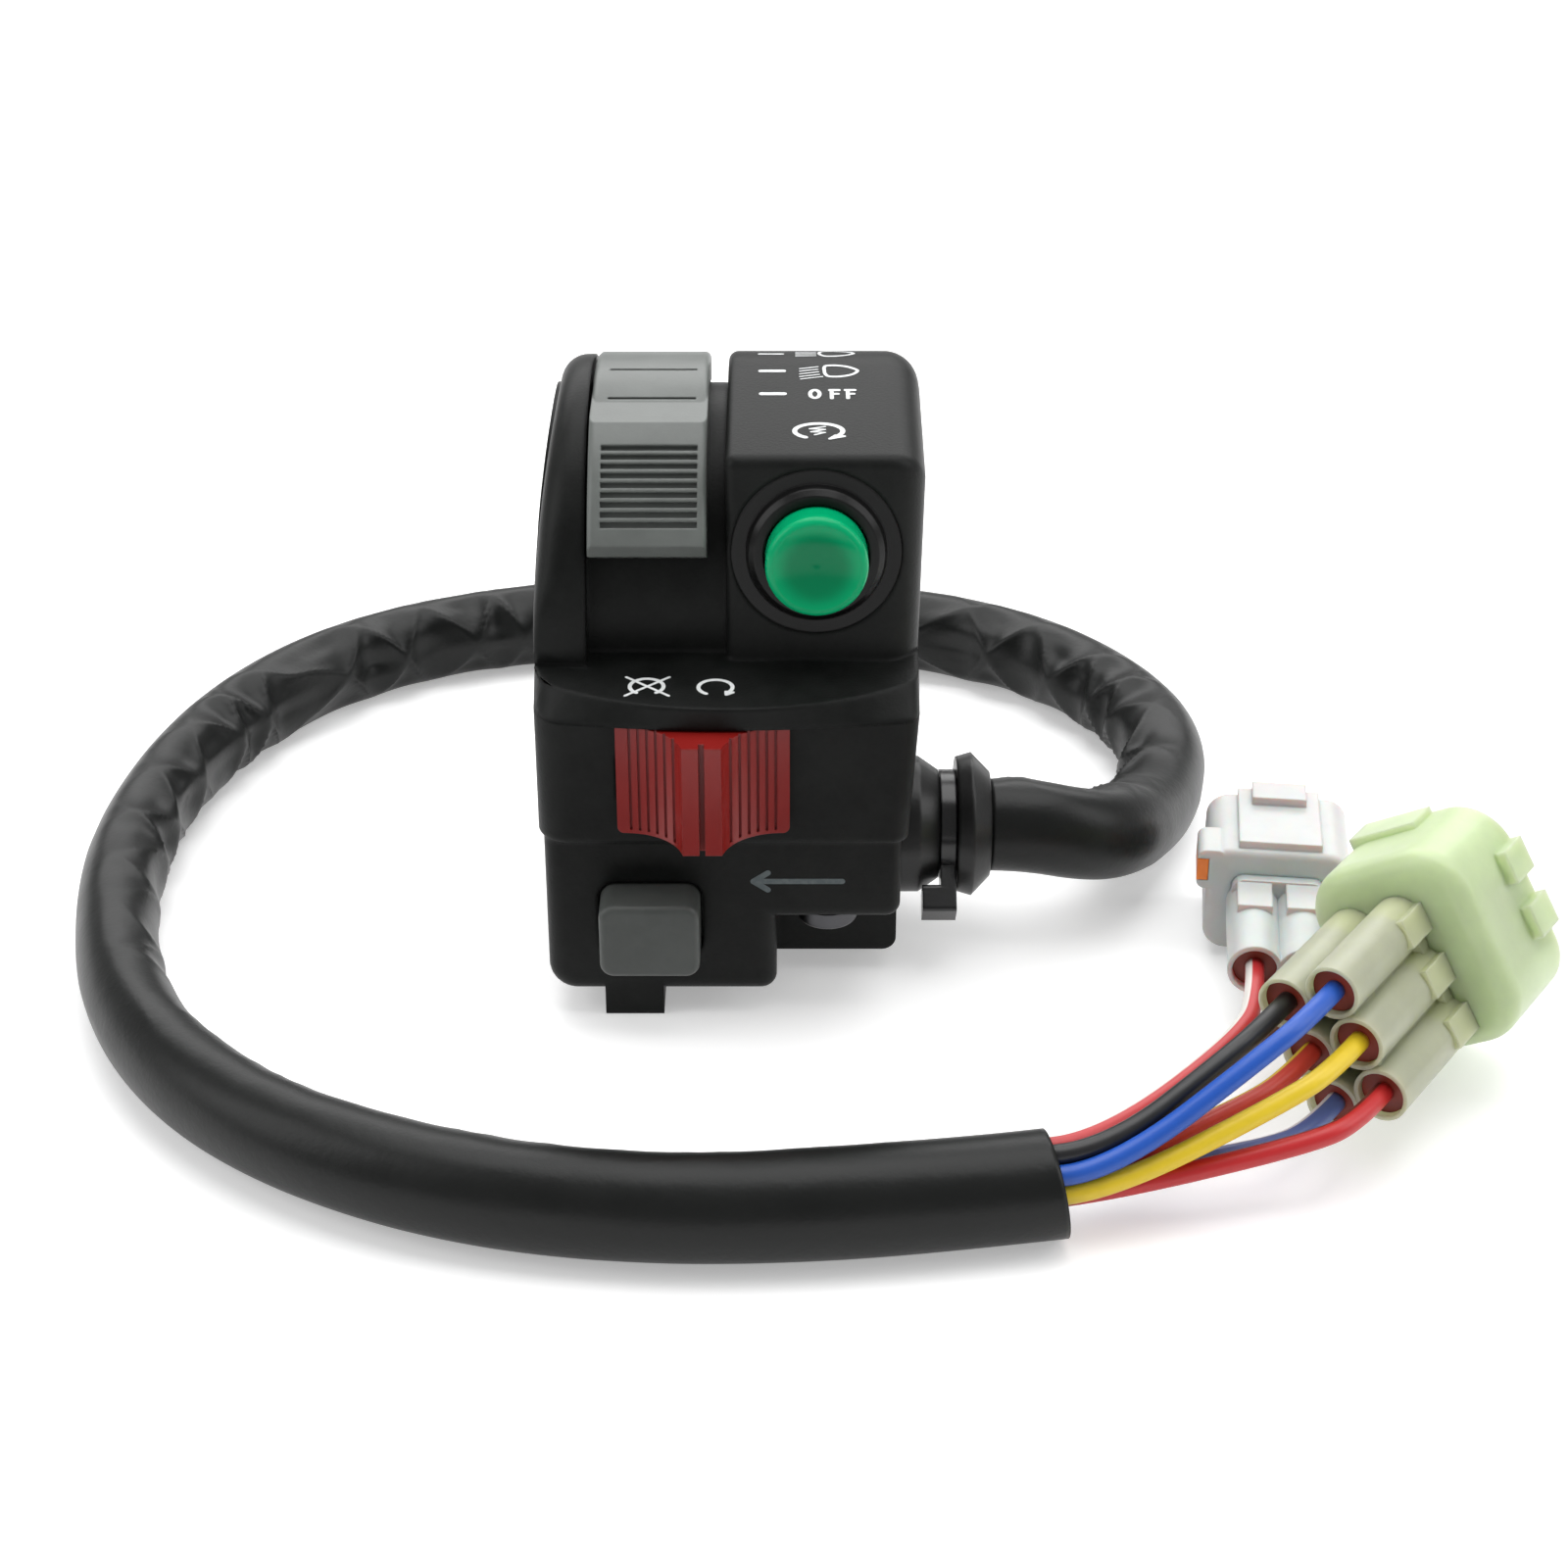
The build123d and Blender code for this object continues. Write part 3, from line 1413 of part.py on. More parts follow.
def six_way_collar():
    """Wide keyed collar round the post, its mouth facing ahead and its back on the tubes' ends."""
    collar = rounded_bar(six_collar_x, six_collar_y, six_collar_corner, (six_tube_length, six_length))
    shoulder = collar.faces().sort_by(Axis.Z)[0].edges()
    collar = fillet(shoulder, six_shoulder_fillet)
    key_start = six_length - six_key_length
    top = six_collar_y[0]
    collar += slab(six_top_key_x, (top - six_top_key_height, top + six_top_key_height),
                   (key_start, six_length))
    right = six_collar_x[1]
    for place in six_side_keys:
        collar += slab((right - six_collar_corner, right + six_side_key_height),
                       (place, place + six_side_key_width), (key_start, six_length))
    inside = six_tube_length + six_collar_back
    collar -= rounded_bar(six_mouth_x, six_mouth_y, six_mouth_corner, (inside, six_length + cut_over))
    collar -= slab(six_lock_slot_x, six_lock_slot_y, (inside, six_length + cut_over))
    collar -= six_core(press_gap, (six_tube_length - cut_over, inside + cut_over))
    return six_seat() * collar


def seals(seat, places, radius):
    """Ring seal round each wire, inside the back of its cavity."""
    rings = []
    for x, y in places:
        ring = upright(radius, seal_setback, seal_setback + seal_length)
        ring -= upright(terminal_radius, seal_setback + seal_length / 2,
                        seal_setback + seal_length + cut_over)
        rings.append(seat * Pos(x, y, 0) * ring)
    return rings


def terminals(seat, places, start, end):
    """Crimped socket terminal behind the seal of each cavity."""
    return [seat * Pos(x, y, 0) * upright(terminal_radius, start, end) for x, y in places]


def ring_seal(seat, half_width, half_height, corner, low):
    """Rubber ring round the core, at the foot of the gap inside the collar."""
    spare = ring_seal_thickness
    high = low + ring_seal_length
    ring = core_bar(half_width + spare, half_height + spare, corner + spare, (low, high))
    ring -= core_bar(half_width, half_height, corner, (low - cut_over, high + cut_over))
    return seat * ring


def two_core(spare, z_span):
    """The post that carries the two pins' holes, with some spare all round."""
    return core_bar(two_core_half_width + spare, two_core_half_height + spare, two_core_corner + spare,
                    z_span)


def two_way_housing():
    """Two tubes that open backwards, each with a raised pad, and one post ahead of them."""
    housing = two_core(0, (two_tube_length - two_head_wall, two_length - two_core_setback))
    for x, y in two_places():
        housing += Pos(x, y, 0) * upright(two_tube_radius, 0, two_tube_length)
        housing += slab((x - two_pad_width / 2, x + two_pad_width / 2), (-two_tube_radius - pad_rise, 0),
                        (two_tube_length - two_pad_length, two_tube_length))
    for x, y in two_places():
        housing -= Pos(x, y, 0) * upright(two_cavity_radius, -cut_over, two_cavity_depth)
        housing -= Pos(x, y, 0) * upright(pin_hole_radius, 0, two_length + cut_over)
    return two_seat() * housing


def two_way_head():
    """Boxy head round the post: a raised back with a latch on it, and a lobe that holds the lock."""
    head = core_bar(two_head_half_width, two_head_half_height, two_head_corner,
                    (two_tube_length, two_length))
    rear_rim = head.faces().sort_by(Axis.Z)[0].edges()
    head = fillet(rear_rim, two_head_fillet)
    top = -two_head_half_height
    head += slab((-two_back_half_width, two_back_half_width), (top - two_back_height, top + two_head_wall),
                 (two_tube_length + two_head_fillet, two_length))
    latch_half = two_latch_width / 2
    head += slab((-latch_half, latch_half), (top - two_back_height - two_latch_height, top),
                 (two_length - two_latch_length, two_length))
    left = -two_head_half_width
    head += rounded_bar((left - two_lobe_proud, left + two_lobe_depth), two_lobe_y, two_lobe_corner,
                        (two_tube_length, two_tube_length + two_lobe_length))
    inside = two_tube_length + two_head_back
    head -= core_bar(two_head_half_width - two_head_wall, two_head_half_height - two_head_wall,
                     two_head_corner - two_head_wall, (inside, two_length + cut_over))
    head -= two_core(press_gap, (two_tube_length - cut_over, inside + cut_over))
    head -= two_lock(two_tube_length - cut_over, 0)
    return two_seat() * head


def two_lock(start, gap):
    """Bar-shaped lock in the lobe's outer side, open at the back, with a gap all round."""
    outer = -two_head_half_width - two_lobe_proud
    return slab((outer - (0 if gap else cut_over), outer + two_retainer_depth - gap),
                (two_retainer_y[0] + gap, two_retainer_y[1] - gap),
                (start, two_tube_length + two_retainer_length - gap))


def two_way_retainer():
    """Orange lock, flush with the lobe that holds it."""
    return two_seat() * two_lock(two_tube_length, press_gap)


def nodes():
    """Every node of the cluster by name."""
    six_ring = (six_core_half_width, six_core_half_height, six_core_corner,
                six_tube_length + six_collar_back)
    two_ring = (two_core_half_width, two_core_half_height, two_core_corner,
                two_tube_length + two_head_back)
    terminal_start = seal_setback + seal_length / 2
    made = {
        "upper_casing": upper_casing(),
        "lower_casing": lower_casing(),
        "casing_screws": casing_screws(),
        "light_knob": light_knob(),
        "light_carrier": light_carrier(),
        "light_bridge": light_bridge(),
        "light_contact_base": light_contact_base(),
        "light_contacts": light_contacts(),
        "light_detent_ball": light_detent_ball(),
        "light_detent_spring": light_detent_spring(),
        "start_bezel": start_bezel(),
        "start_button": start_button(),
        "start_bridge": start_bridge(),
        "start_contact_base": start_contact_base(),
        "start_contacts": start_contacts(),
        "start_return_spring": start_return_spring(),
        "kill_knob": kill_knob(),
        "kill_carrier": kill_carrier(),
        "kill_bridge": kill_bridge(),
        "kill_contact_base": kill_contact_base(),
        "kill_contacts": kill_contacts(),
        "kill_base_screws": kill_base_screws(),
        "kill_detent_ball": kill_detent_ball(),
        "kill_detent_spring": kill_detent_spring(),
        "override_button": override_button(),
        "override_bridge": override_bridge(),
        "override_contact_base": override_contact_base(),
        "override_contacts": override_contacts(),
        "override_return_spring": override_return_spring(),
        "cable_grommet": cable_grommet(),
        "cable_tie": cable_tie(),
        "harness_sleeve": harness_sleeve(),
        "six_way_housing": six_way_housing(),
        "six_way_collar": six_way_collar(),
        "six_way_seals": seals(six_seat(), six_places(), six_cavity_radius - press_gap),
        "six_way_terminals": terminals(six_seat(), six_places(), terminal_start,
                                       six_length - 2 * six_core_setback),
        "six_way_ring_seal": ring_seal(six_seat(), *six_ring),
        "two_way_housing": two_way_housing(),
        "two_way_head": two_way_head(),
        "two_way_seals": seals(two_seat(), two_places(), two_cavity_radius - press_gap),
        "two_way_terminals": terminals(two_seat(), two_places(), terminal_start,
                                       two_length - 2 * two_core_setback),
        "two_way_ring_seal": ring_seal(two_seat(), *two_ring),
        "two_way_retainer": two_way_retainer(),
    }
    for name in wire_places:
        made[name] = wire(name)
    return made


os.makedirs("parts", exist_ok=True)
for node_name, node in nodes().items():
    shape = Compound(children=list(node)) if isinstance(node, (list, ShapeList)) else node
    export_step(shape, os.path.join("parts", node_name + ".step"))
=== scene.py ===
"""Looks of a handlebar switch cluster: finishes, prints and the soft lead over its solid model."""
import math
import bpy
from bpy.props import FloatProperty, FloatVectorProperty, PointerProperty
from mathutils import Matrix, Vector, noise


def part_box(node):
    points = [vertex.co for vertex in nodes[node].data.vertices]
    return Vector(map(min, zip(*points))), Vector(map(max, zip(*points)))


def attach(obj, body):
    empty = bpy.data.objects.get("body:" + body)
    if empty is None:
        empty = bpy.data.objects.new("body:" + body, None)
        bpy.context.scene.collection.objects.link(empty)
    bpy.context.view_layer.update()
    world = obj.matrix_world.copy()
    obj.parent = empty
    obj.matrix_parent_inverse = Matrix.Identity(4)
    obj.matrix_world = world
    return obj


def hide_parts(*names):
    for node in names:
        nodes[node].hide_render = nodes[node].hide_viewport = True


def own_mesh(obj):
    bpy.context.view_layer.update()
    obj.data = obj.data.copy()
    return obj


bl_info = {
    "name": "Handlebar Switch Cluster",
    "version": (1, 0, 0),
    "blender": (4, 5, 0),
    "location": "View3D > Sidebar > Switch",
    "description": "Finishes, prints and the soft lead of a handlebar switch cluster",
    "category": "Object",
}

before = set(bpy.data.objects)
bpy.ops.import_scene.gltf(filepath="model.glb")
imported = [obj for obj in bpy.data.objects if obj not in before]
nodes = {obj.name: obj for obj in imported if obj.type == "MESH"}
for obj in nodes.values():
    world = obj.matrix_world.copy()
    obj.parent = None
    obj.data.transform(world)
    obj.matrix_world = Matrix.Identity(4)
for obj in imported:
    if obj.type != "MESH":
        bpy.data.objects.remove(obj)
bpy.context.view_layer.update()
MM = 0.001
GRAIN_SCALE = 2600.0
POINT_STEP = 0.0006
SLEEVE_WIDTH = 0.0124


# Shader graph

class Value:
    """One output of a shader node. Sums, products and powers of it add their Math nodes."""

    def __init__(self, finish, socket):
        self.finish = finish
        self.socket = socket

    def _math(self, operation, first, second):
        return self.finish.node("ShaderNodeMath", {"operation": operation}, {0: first, 1: second})

    def __add__(self, other):
        return self._math("ADD", self, other)

    __radd__ = __add__

    def __sub__(self, other):
        return self._math("SUBTRACT", self, other)

    def __rsub__(self, other):
        return self._math("SUBTRACT", other, self)

    def __mul__(self, other):
        return self._math("MULTIPLY", self, other)

    __rmul__ = __mul__

    def __pow__(self, other):
        return self._math("POWER", self, other)

    def above(self, level, width):
        """Soft step from 0 to 1 as the value passes a level, over a width."""
        return self.finish.node("ShaderNodeMapRange", {"interpolation_type": "SMOOTHSTEP"}, {
            "Value": self, "From Min": level - width / 2, "From Max": level + width / 2})


class Finish:
    """A material and the few kinds of node that the finishes here are made of."""

    def __init__(self, name, **sockets):
        self.material = bpy.data.materials.new(name)
        self.material.use_nodes = True
        self.tree = self.material.node_tree
        self.shader = self.tree.nodes["Principled BSDF"]
        names = {socket.name.lower().replace(" ", "_"): socket.name for socket in self.shader.inputs}
        for key, value in sockets.items():
            self.set(names[key], value)

    def fill(self, socket, value):
        """Links or sets one input, a colour of three parts as an opaque one."""
        if isinstance(value, Value):
            self.tree.links.new(value.socket, socket)
        elif socket.type == "RGBA" and len(value) == 3:
            socket.default_value = (*value, 1.0)
        else:
            socket.default_value = value

    def set(self, name, value):
        self.fill(self.shader.inputs[name], value)

    def node(self, kind, settings=None, inputs=None, output=0):
        """Adds a node, makes its settings, then links or sets its inputs, and gives one output."""
        made = self.tree.nodes.new(kind)
        for key, value in (settings or {}).items():
            setattr(made, key, value)
        for key, value in (inputs or {}).items():
            self.fill(made.inputs[key], value)
        return Value(self, made.outputs[output])

    def place(self):
        return self.node("ShaderNodeTexCoord", output="Object")

    def uv(self):
        return self.node("ShaderNodeTexCoord", output="UV")

    def axis(self, vector, name):
        return self.node("ShaderNodeSeparateXYZ", None, {0: vector}, output=name)

    def noise(self, scale, detail=2.0, rough=0.5):
        return self.node("ShaderNodeTexNoise", None, {
            "Vector": self.place(), "Scale": scale, "Detail": detail, "Roughness": rough})

    def blend(self, factor, first, second):
        """Mix of two colours."""
        return self.node("ShaderNodeMix", {"data_type": "RGBA"},
                         {"Factor": factor, 6: first, 7: second}, output=2)

    def soft_edges(self, radius):
        return self.node("ShaderNodeBevel", {"samples": 6}, {"Radius": radius})

    def bump(self, height, distance, strength=1.0, normal=None):
        inputs = {"Strength": strength, "Distance": distance, "Height": height}
        if normal is not None:
            inputs["Normal"] = normal
        return self.node("ShaderNodeBump", None, inputs)


def moulded(name, colour, rough, grain=0.0, edge=0.0002, worn=0.25, shine=0.5):
    """Moulded plastic: fine grain, faint mottling of tone and gloss, and edges that shine a little."""
    finish = Finish(name, roughness=rough, specular_ior_level=shine)
    mottle = finish.noise(180.0, 4.0, 0.6)
    fine = finish.noise(GRAIN_SCALE, 3.0, 0.55)
    pale = tuple(min(1.0, channel * (1 + worn) + 0.004 * worn) for channel in colour)
    dark = tuple(channel * (1 - worn * 0.5) for channel in colour)
    finish.set("Base Color", finish.blend(mottle.above(0.5, 0.5), dark, pale))
    finish.set("Roughness", rough - 0.05 + 0.1 * mottle)
    normal = finish.soft_edges(edge)
    if grain:
        normal = finish.bump(fine, grain, 1.0, normal)
    finish.set("Normal", normal)
    return finish


def metal(name, colour, rough):
    """Bare metal with a drawn, faintly mottled surface."""
    finish = Finish(name, base_color=colour, metallic=1.0, roughness=rough)
    fine = finish.noise(900.0, 4.0, 0.6)
    finish.set("Roughness", rough - 0.06 + 0.16 * fine)
    finish.set("Normal", finish.bump(fine, 0.00002, 0.4, finish.soft_edges(0.00012)))
    return finish


def dress(names, finish):
    """Gives a finish to solid nodes."""
    for name in names:
        if not nodes[name].material_slots:
            nodes[name].data.materials.append(finish.material)
        for slot in nodes[name].material_slots:
            slot.material = finish.material


# Making pieces

def mesh_object(name, vertices, faces):
    mesh = bpy.data.meshes.new(name)
    mesh.from_pydata(vertices, [], faces)
    piece = bpy.data.objects.new(name, mesh)
    bpy.context.collection.objects.link(piece)
    return piece


def new_piece(name, vertices, faces, finish, smooth=True):
    piece = mesh_object(name, vertices, faces)
    piece.data.materials.append(finish.material)
    if smooth:
        piece.data.polygons.foreach_set("use_smooth", [True] * len(piece.data.polygons))
    return piece


def wear_only(piece, finish):
    """Leaves a piece with one material, this finish's."""
    piece.data.materials.clear()
    piece.data.materials.append(finish.material)


def pick(piece):
    """Selects only this piece and makes it active."""
    bpy.ops.object.select_all(action="DESELECT")
    piece.select_set(True)
    bpy.context.view_layer.objects.active = piece


def edit_all(piece, operator, **options):
    """Runs one edit-mode operator on the whole of a piece's mesh."""
    pick(piece)
    bpy.ops.object.mode_set(mode="EDIT")
    bpy.ops.mesh.select_all(action="SELECT")
    operator(**options)
    bpy.ops.object.mode_set(mode="OBJECT")


def spline_points(name, route):
    """Smooth curve through the reach of a route's control points, as even points in metres."""
    curve = bpy.data.curves.new(name + "_line", "CURVE")
    curve.dimensions = "3D"
    curve.resolution_u = 24
    line = curve.splines.new("NURBS")
    line.points.add(len(route) - 1)
    for point, place in zip(line.points, route):
        point.co = (*(value * MM for value in place), 1.0)
    line.order_u = 3
    line.use_endpoint_u = True
    guide = bpy.data.objects.new(name + "_line", curve)
    bpy.context.collection.objects.link(guide)
    bpy.context.view_layer.update()
    mesh = bpy.data.meshes.new_from_object(guide)
    points = [vertex.co.copy() for vertex in mesh.vertices]
    bpy.data.objects.remove(guide)
    bpy.data.meshes.remove(mesh)
    bpy.data.curves.remove(curve)
    return points


def ways_along(points):
    """Way along a line at each of its points."""
    ways = [0.0]
    for first, second in zip(points, points[1:]):
        ways.append(ways[-1] + (second - first).length)
    return ways


def even(points, step):
    """The same line with its points a step apart."""
    ways = ways_along(points)
    count = max(8, round(ways[-1] / step))
    found = []
    index = 0
    for number in range(count + 1):
        along = ways[-1] * number / count
        while index < len(points) - 2 and ways[index + 1] < along:
            index += 1
        span = ways[index + 1] - ways[index]
        share = 0.0 if span == 0 else (along - ways[index]) / span
        found.append(points[index].lerp(points[index + 1], share))
    return found


def frames_along(points):
    """Forward, sideways and up at each point, with up kept as near to upright as the line allows."""
    found = []
    for number in range(len(points)):
        before = points[max(0, number - 1)]
        after = points[min(len(points) - 1, number + 1)]
        forward = (after - before).normalized()
        side = forward.cross(Vector((0, 0, 1)))
        if side.length < 1e-4:
            side = Vector((1, 0, 0))
        side.normalize()
        found.append((forward, side, side.cross(forward)))
    return found


def strips(faces, rings, around):
    """Adds the faces that join closed rings of vertices, each with as many round it."""
    for number in range(rings - 1):
        for step in range(around):
            a = number * around + step
            b = number * around + (step + 1) % around
            faces.append((a, b, b + around, a + around))


def tube(name, points, around, radius_at, finish, wall=0.0, depth=0.0, slant=0.0, slant_reach=0.02):
    """Tube along a line, its radius a function of the way along and the angle, with a UV map.

    The far end is open to a depth where a wall is given, and may be cut at a slant. Both ends are closed.
    """
    frames = frames_along(points)
    ways = ways_along(points)
    last = len(points) - 1

    def ring(number, inset):
        forward, side, up = frames[number]
        lean = slant * max(0.0, 1.0 - (ways[last] - ways[number]) / slant_reach)
        made = []
        for step in range(around):
            across, high = radius_at(ways[number], 2 * math.pi * step / around)
            scale = 1.0 - inset / max(1e-9, math.hypot(across, high))
            made.append(points[number] + (side * across + up * high - forward * high * lean) * scale)
        return made

    rings = [(ring(number, 0.0), ways[number]) for number in range(last + 1)]
    if wall:
        back = last
        while back > 0 and ways[last] - ways[back] < depth:
            back -= 1
        rings += [(ring(number, wall), ways[number]) for number in range(last, back - 1, -1)]
    vertices = [place for made, _ in rings for place in made]
    faces = []
    strips(faces, len(rings), around)
    start = (len(rings) - 1) * around
    faces += [tuple(reversed(range(around))), tuple(range(start, start + around))]
    piece = new_piece(name, vertices, faces, finish)
    layer = piece.data.uv_layers.new(name="UVMap")
    for polygon in piece.data.polygons:
        steps = [piece.data.loops[loop].vertex_index % around for loop in polygon.loop_indices]
        past_seam = max(steps) > around / 2
        for loop, step in zip(polygon.loop_indices, steps):
            share = 1.0 if step == 0 and past_seam else step / around
            vertex = piece.data.loops[loop].vertex_index
            layer.data[loop].uv = (share, rings[vertex // around][1] * 100)
    for polygon in list(piece.data.polygons)[-2:]:
        polygon.use_smooth = False
    return piece


# Sizes and colours a user would change

class SwitchSettings(bpy.types.PropertyGroup):
    casing_colour: FloatVectorProperty(
        name="Casing", description="Colour of the moulded casing", subtype="COLOR", min=0, max=1,
        default=(0.0058, 0.0064, 0.0060))
    grey_colour: FloatVectorProperty(
        name="Grey controls", description="Colour of the light slide and the square button", subtype="COLOR",
        min=0, max=1, default=(0.118, 0.128, 0.121))
    start_colour: FloatVectorProperty(
        name="Start button", description="Colour of the round start button", subtype="COLOR", min=0, max=1,
        default=(0.0, 0.37, 0.145))
    stop_colour: FloatVectorProperty(
        name="Stop slide", description="Colour of the stop slide", subtype="COLOR", min=0, max=1,
        default=(0.235, 0.010, 0.008))
    print_colour: FloatVectorProperty(
        name="Prints", description="Colour of the printed symbols", subtype="COLOR", min=0, max=1,
        default=(0.80, 0.82, 0.82))
    housing_colour: FloatVectorProperty(
        name="Large connector", description="Colour of the six-way housing", subtype="COLOR", min=0, max=1,
        default=(0.62, 0.74, 0.45))
    sleeve_size: FloatProperty(
        name="Sleeve size", description="Width across the soft sleeve", default=SLEEVE_WIDTH, min=0.011,
        max=0.0135, unit="LENGTH", precision=4)
    light_power: FloatProperty(
        name="Studio light", description="Strength of the large overhead lamp", default=9.0, min=0,
        max=100, unit="POWER")


def settings():
    return bpy.context.scene.switch_settings


# The lead

SLEEVE_ROUTE = (
    (33.8, -10.0, -26.0), (39.4, -10.0, -26.0), (45.4, -8.7, -27.8), (50.4, -4.4, -30.4),
    (54.8, 3.4, -33.2), (59.6, 15.6, -35.6), (62.2, 32.0, -35.6), (56.4, 48.4, -35.6), (44.4, 63.1, -35.6),
    (24.1, 73.1, -35.6), (-4.0, 76.8, -35.6), (-33.0, 73.6, -35.6), (-53.6, 65.3, -35.6),
    (-69.5, 49.1, -35.6), (-80.0, 23.7, -35.6), (-82.0, -5.6, -35.6), (-76.9, -33.2, -35.6),
    (-65.6, -54.4, -35.6), (-46.6, -70.6, -35.6), (-20.4, -79.9, -35.6), (9.0, -81.4, -35.6),
    (37.4, -76.2, -35.6),
)

WIRE_ROUTES = {
    "wire_red_white": ((37.06, -74.34, -32.02), (42.96, -73.25, -32.02), (62.00, -50.20, -32.80),
                       (65.04, -39.67, -33.60), (65.85, -33.22, -33.60)),
    "wire_brown": ((36.88, -73.37, -34.34), (42.78, -72.29, -34.34), (66.40, -45.60, -36.00),
                   (71.19, -40.44, -33.60), (72.00, -34.00, -33.60)),
    "wire_black": ((37.49, -76.70, -31.37), (43.39, -75.62, -31.37), (57.44, -66.54, -25.02),
                   (61.88, -61.91, -23.97), (65.57, -56.56, -23.92)),
    "wire_blue": ((37.85, -78.68, -32.81), (43.76, -77.60, -32.81), (61.88, -69.44, -21.89),
                  (66.53, -65.15, -20.39), (70.22, -59.80, -20.34)),
    "wire_red_yellow": ((37.40, -76.20, -34.20), (43.30, -75.12, -34.20), (60.01, -68.20, -30.28),
                        (64.85, -63.91, -29.63), (68.55, -58.56, -29.58)),
    "wire_yellow": ((37.88, -78.80, -35.33), (43.78, -77.72, -35.33), (64.54, -71.20, -27.17),
                    (69.50, -67.15, -26.05), (73.19, -61.80, -26.00)),
    "wire_blue_white": ((37.09, -74.52, -36.53), (42.99, -73.44, -36.53), (62.58, -69.73, -35.49),
                        (67.82, -65.90, -35.30), (71.52, -60.55, -35.25)),
    "wire_red": ((37.54, -76.98, -36.96), (43.44, -75.90, -36.96), (67.13, -72.80, -32.35),
                 (72.47, -69.14, -31.72), (76.16, -63.79, -31.67)),
}

# Radius of a wire, how far it starts inside the sleeve, and where a stripe starts round it
WIRE_RADIUS = 0.0012
WIRE_INSIDE = 0.002
STRIPE_START = 0.30
STRIPE_EDGE = 0.02

# Insulation: main colour, stripe colour, share of the way round that the stripe takes
WIRE_COLOURS = {
    "wire_red_white": ((0.55, 0.03, 0.035), (0.75, 0.72, 0.68), 0.16),
    "wire_brown": ((0.13, 0.05, 0.028), None, 0.0),
    "wire_black": ((0.010, 0.010, 0.011), None, 0.0),
    "wire_blue": ((0.012, 0.095, 0.50), None, 0.0),
    "wire_red_yellow": ((0.60, 0.05, 0.03), (0.80, 0.55, 0.03), 0.2),
    "wire_yellow": ((0.84, 0.60, 0.02), None, 0.0),
    "wire_blue_white": ((0.10, 0.16, 0.42), (0.75, 0.76, 0.78), 0.25),
    "wire_red": ((0.56, 0.018, 0.022), (0.16, 0.03, 0.025), 0.14),
}

# Sleeve: way along in metres, across and high in millimetres, how much its wall is buckled
SLEEVE_FORM = (
    (0.000, 12.5, 12.5, 0.25), (0.012, 12.9, 12.9, 0.7), (0.035, 12.6, 12.6, 0.9),
    (0.070, 12.5, 12.4, 1.0), (0.110, 12.4, 12.6, 1.0), (0.150, 12.5, 12.8, 0.8),
    (0.190, 12.0, 12.6, 1.0), (0.230, 11.4, 12.4, 1.0), (0.265, 11.0, 12.2, 0.75),
    (0.290, 10.8, 12.2, 0.3), (0.320, 11.2, 12.4, 0.08), (0.380, 12.4, 12.6, 0.08),
    (0.4365, 12.6, 12.7, 0.0),
)


# Depths and lengths of the sleeve's buckles, swells and waves, in metres, and the side that buckles
BUCKLE_MIDDLE = math.radians(160)
BUCKLE_LENGTH = 0.0125
BUCKLE_DEPTH = 0.0021
BACK_DEPTH = 0.0004
SWELL_DEPTH = 0.00022
SWELL_START = 0.01
WAVE_DEPTH = 0.00055


def sleeve_form(along):
    """Across, high and buckling of the sleeve at a way along."""
    before = SLEEVE_FORM[0]
    for after in SLEEVE_FORM[1:]:
        if along <= after[0]:
            share = max(0.0, (along - before[0]) / (after[0] - before[0]))
            share = share * share * (3 - 2 * share)
            return tuple(a + (b - a) * share for a, b in zip(before[1:], after[1:]))
        before = after
    return before[1:]


def wander(along, scale, height):
    """Smooth noise that changes along the sleeve only."""
    return noise.noise(Vector((along * scale, height, 0.0)))


def wander_round(along, angle, scale, spread, height=0.0):
    """Smooth noise that changes along the sleeve and round it."""
    return noise.noise(Vector((along * scale, math.cos(angle) * spread, math.sin(angle) * spread + height)))


def folds(along, angle):
    """Inward push of the sleeve's wall, in metres, at a way along and an angle round it."""
    turned = (angle - BUCKLE_MIDDLE + math.pi) % (2 * math.pi) - math.pi
    skew = 1.25 + 0.5 * wander(along, 45, 5.2)
    across = math.pi * along / BUCKLE_LENGTH + wander(along, 70, 0.3) * 1.9
    first = math.sin(across + skew * turned)
    second = math.sin(across - skew * turned * 0.9 + 0.5)
    hollow = (abs(first) * abs(second)) ** 0.7
    window = max(0.0, math.cos(turned * 0.85)) ** 1.4
    uneven = 0.75 + 0.6 * wander_round(along, angle, 55, 1.4)
    back = max(0.0, -math.cos(turned)) * 0.16 * abs(first)
    return BUCKLE_DEPTH * hollow * window * uneven + BACK_DEPTH * back


def sleeve_radius(along, angle):
    across, high, buckled = sleeve_form(along)
    size = settings().sleeve_size / SLEEVE_WIDTH
    x = across * size * MM / 2 * math.cos(angle)
    z = high * size * MM / 2 * math.sin(angle)
    push = buckled * folds(along, angle)
    push += wander(along, 34, 7.0) * SWELL_DEPTH * min(1.0, along / SWELL_START)
    push += WAVE_DEPTH * max(0.0, wander_round(along, angle, 26, 0.7, 9.0)) * (1.0 - buckled)
    scale = max(0.5, 1.0 - push / math.hypot(x, z))
    return x * scale, z * scale


def wire_radius(along, angle):
    return WIRE_RADIUS * math.cos(angle), WIRE_RADIUS * math.sin(angle)


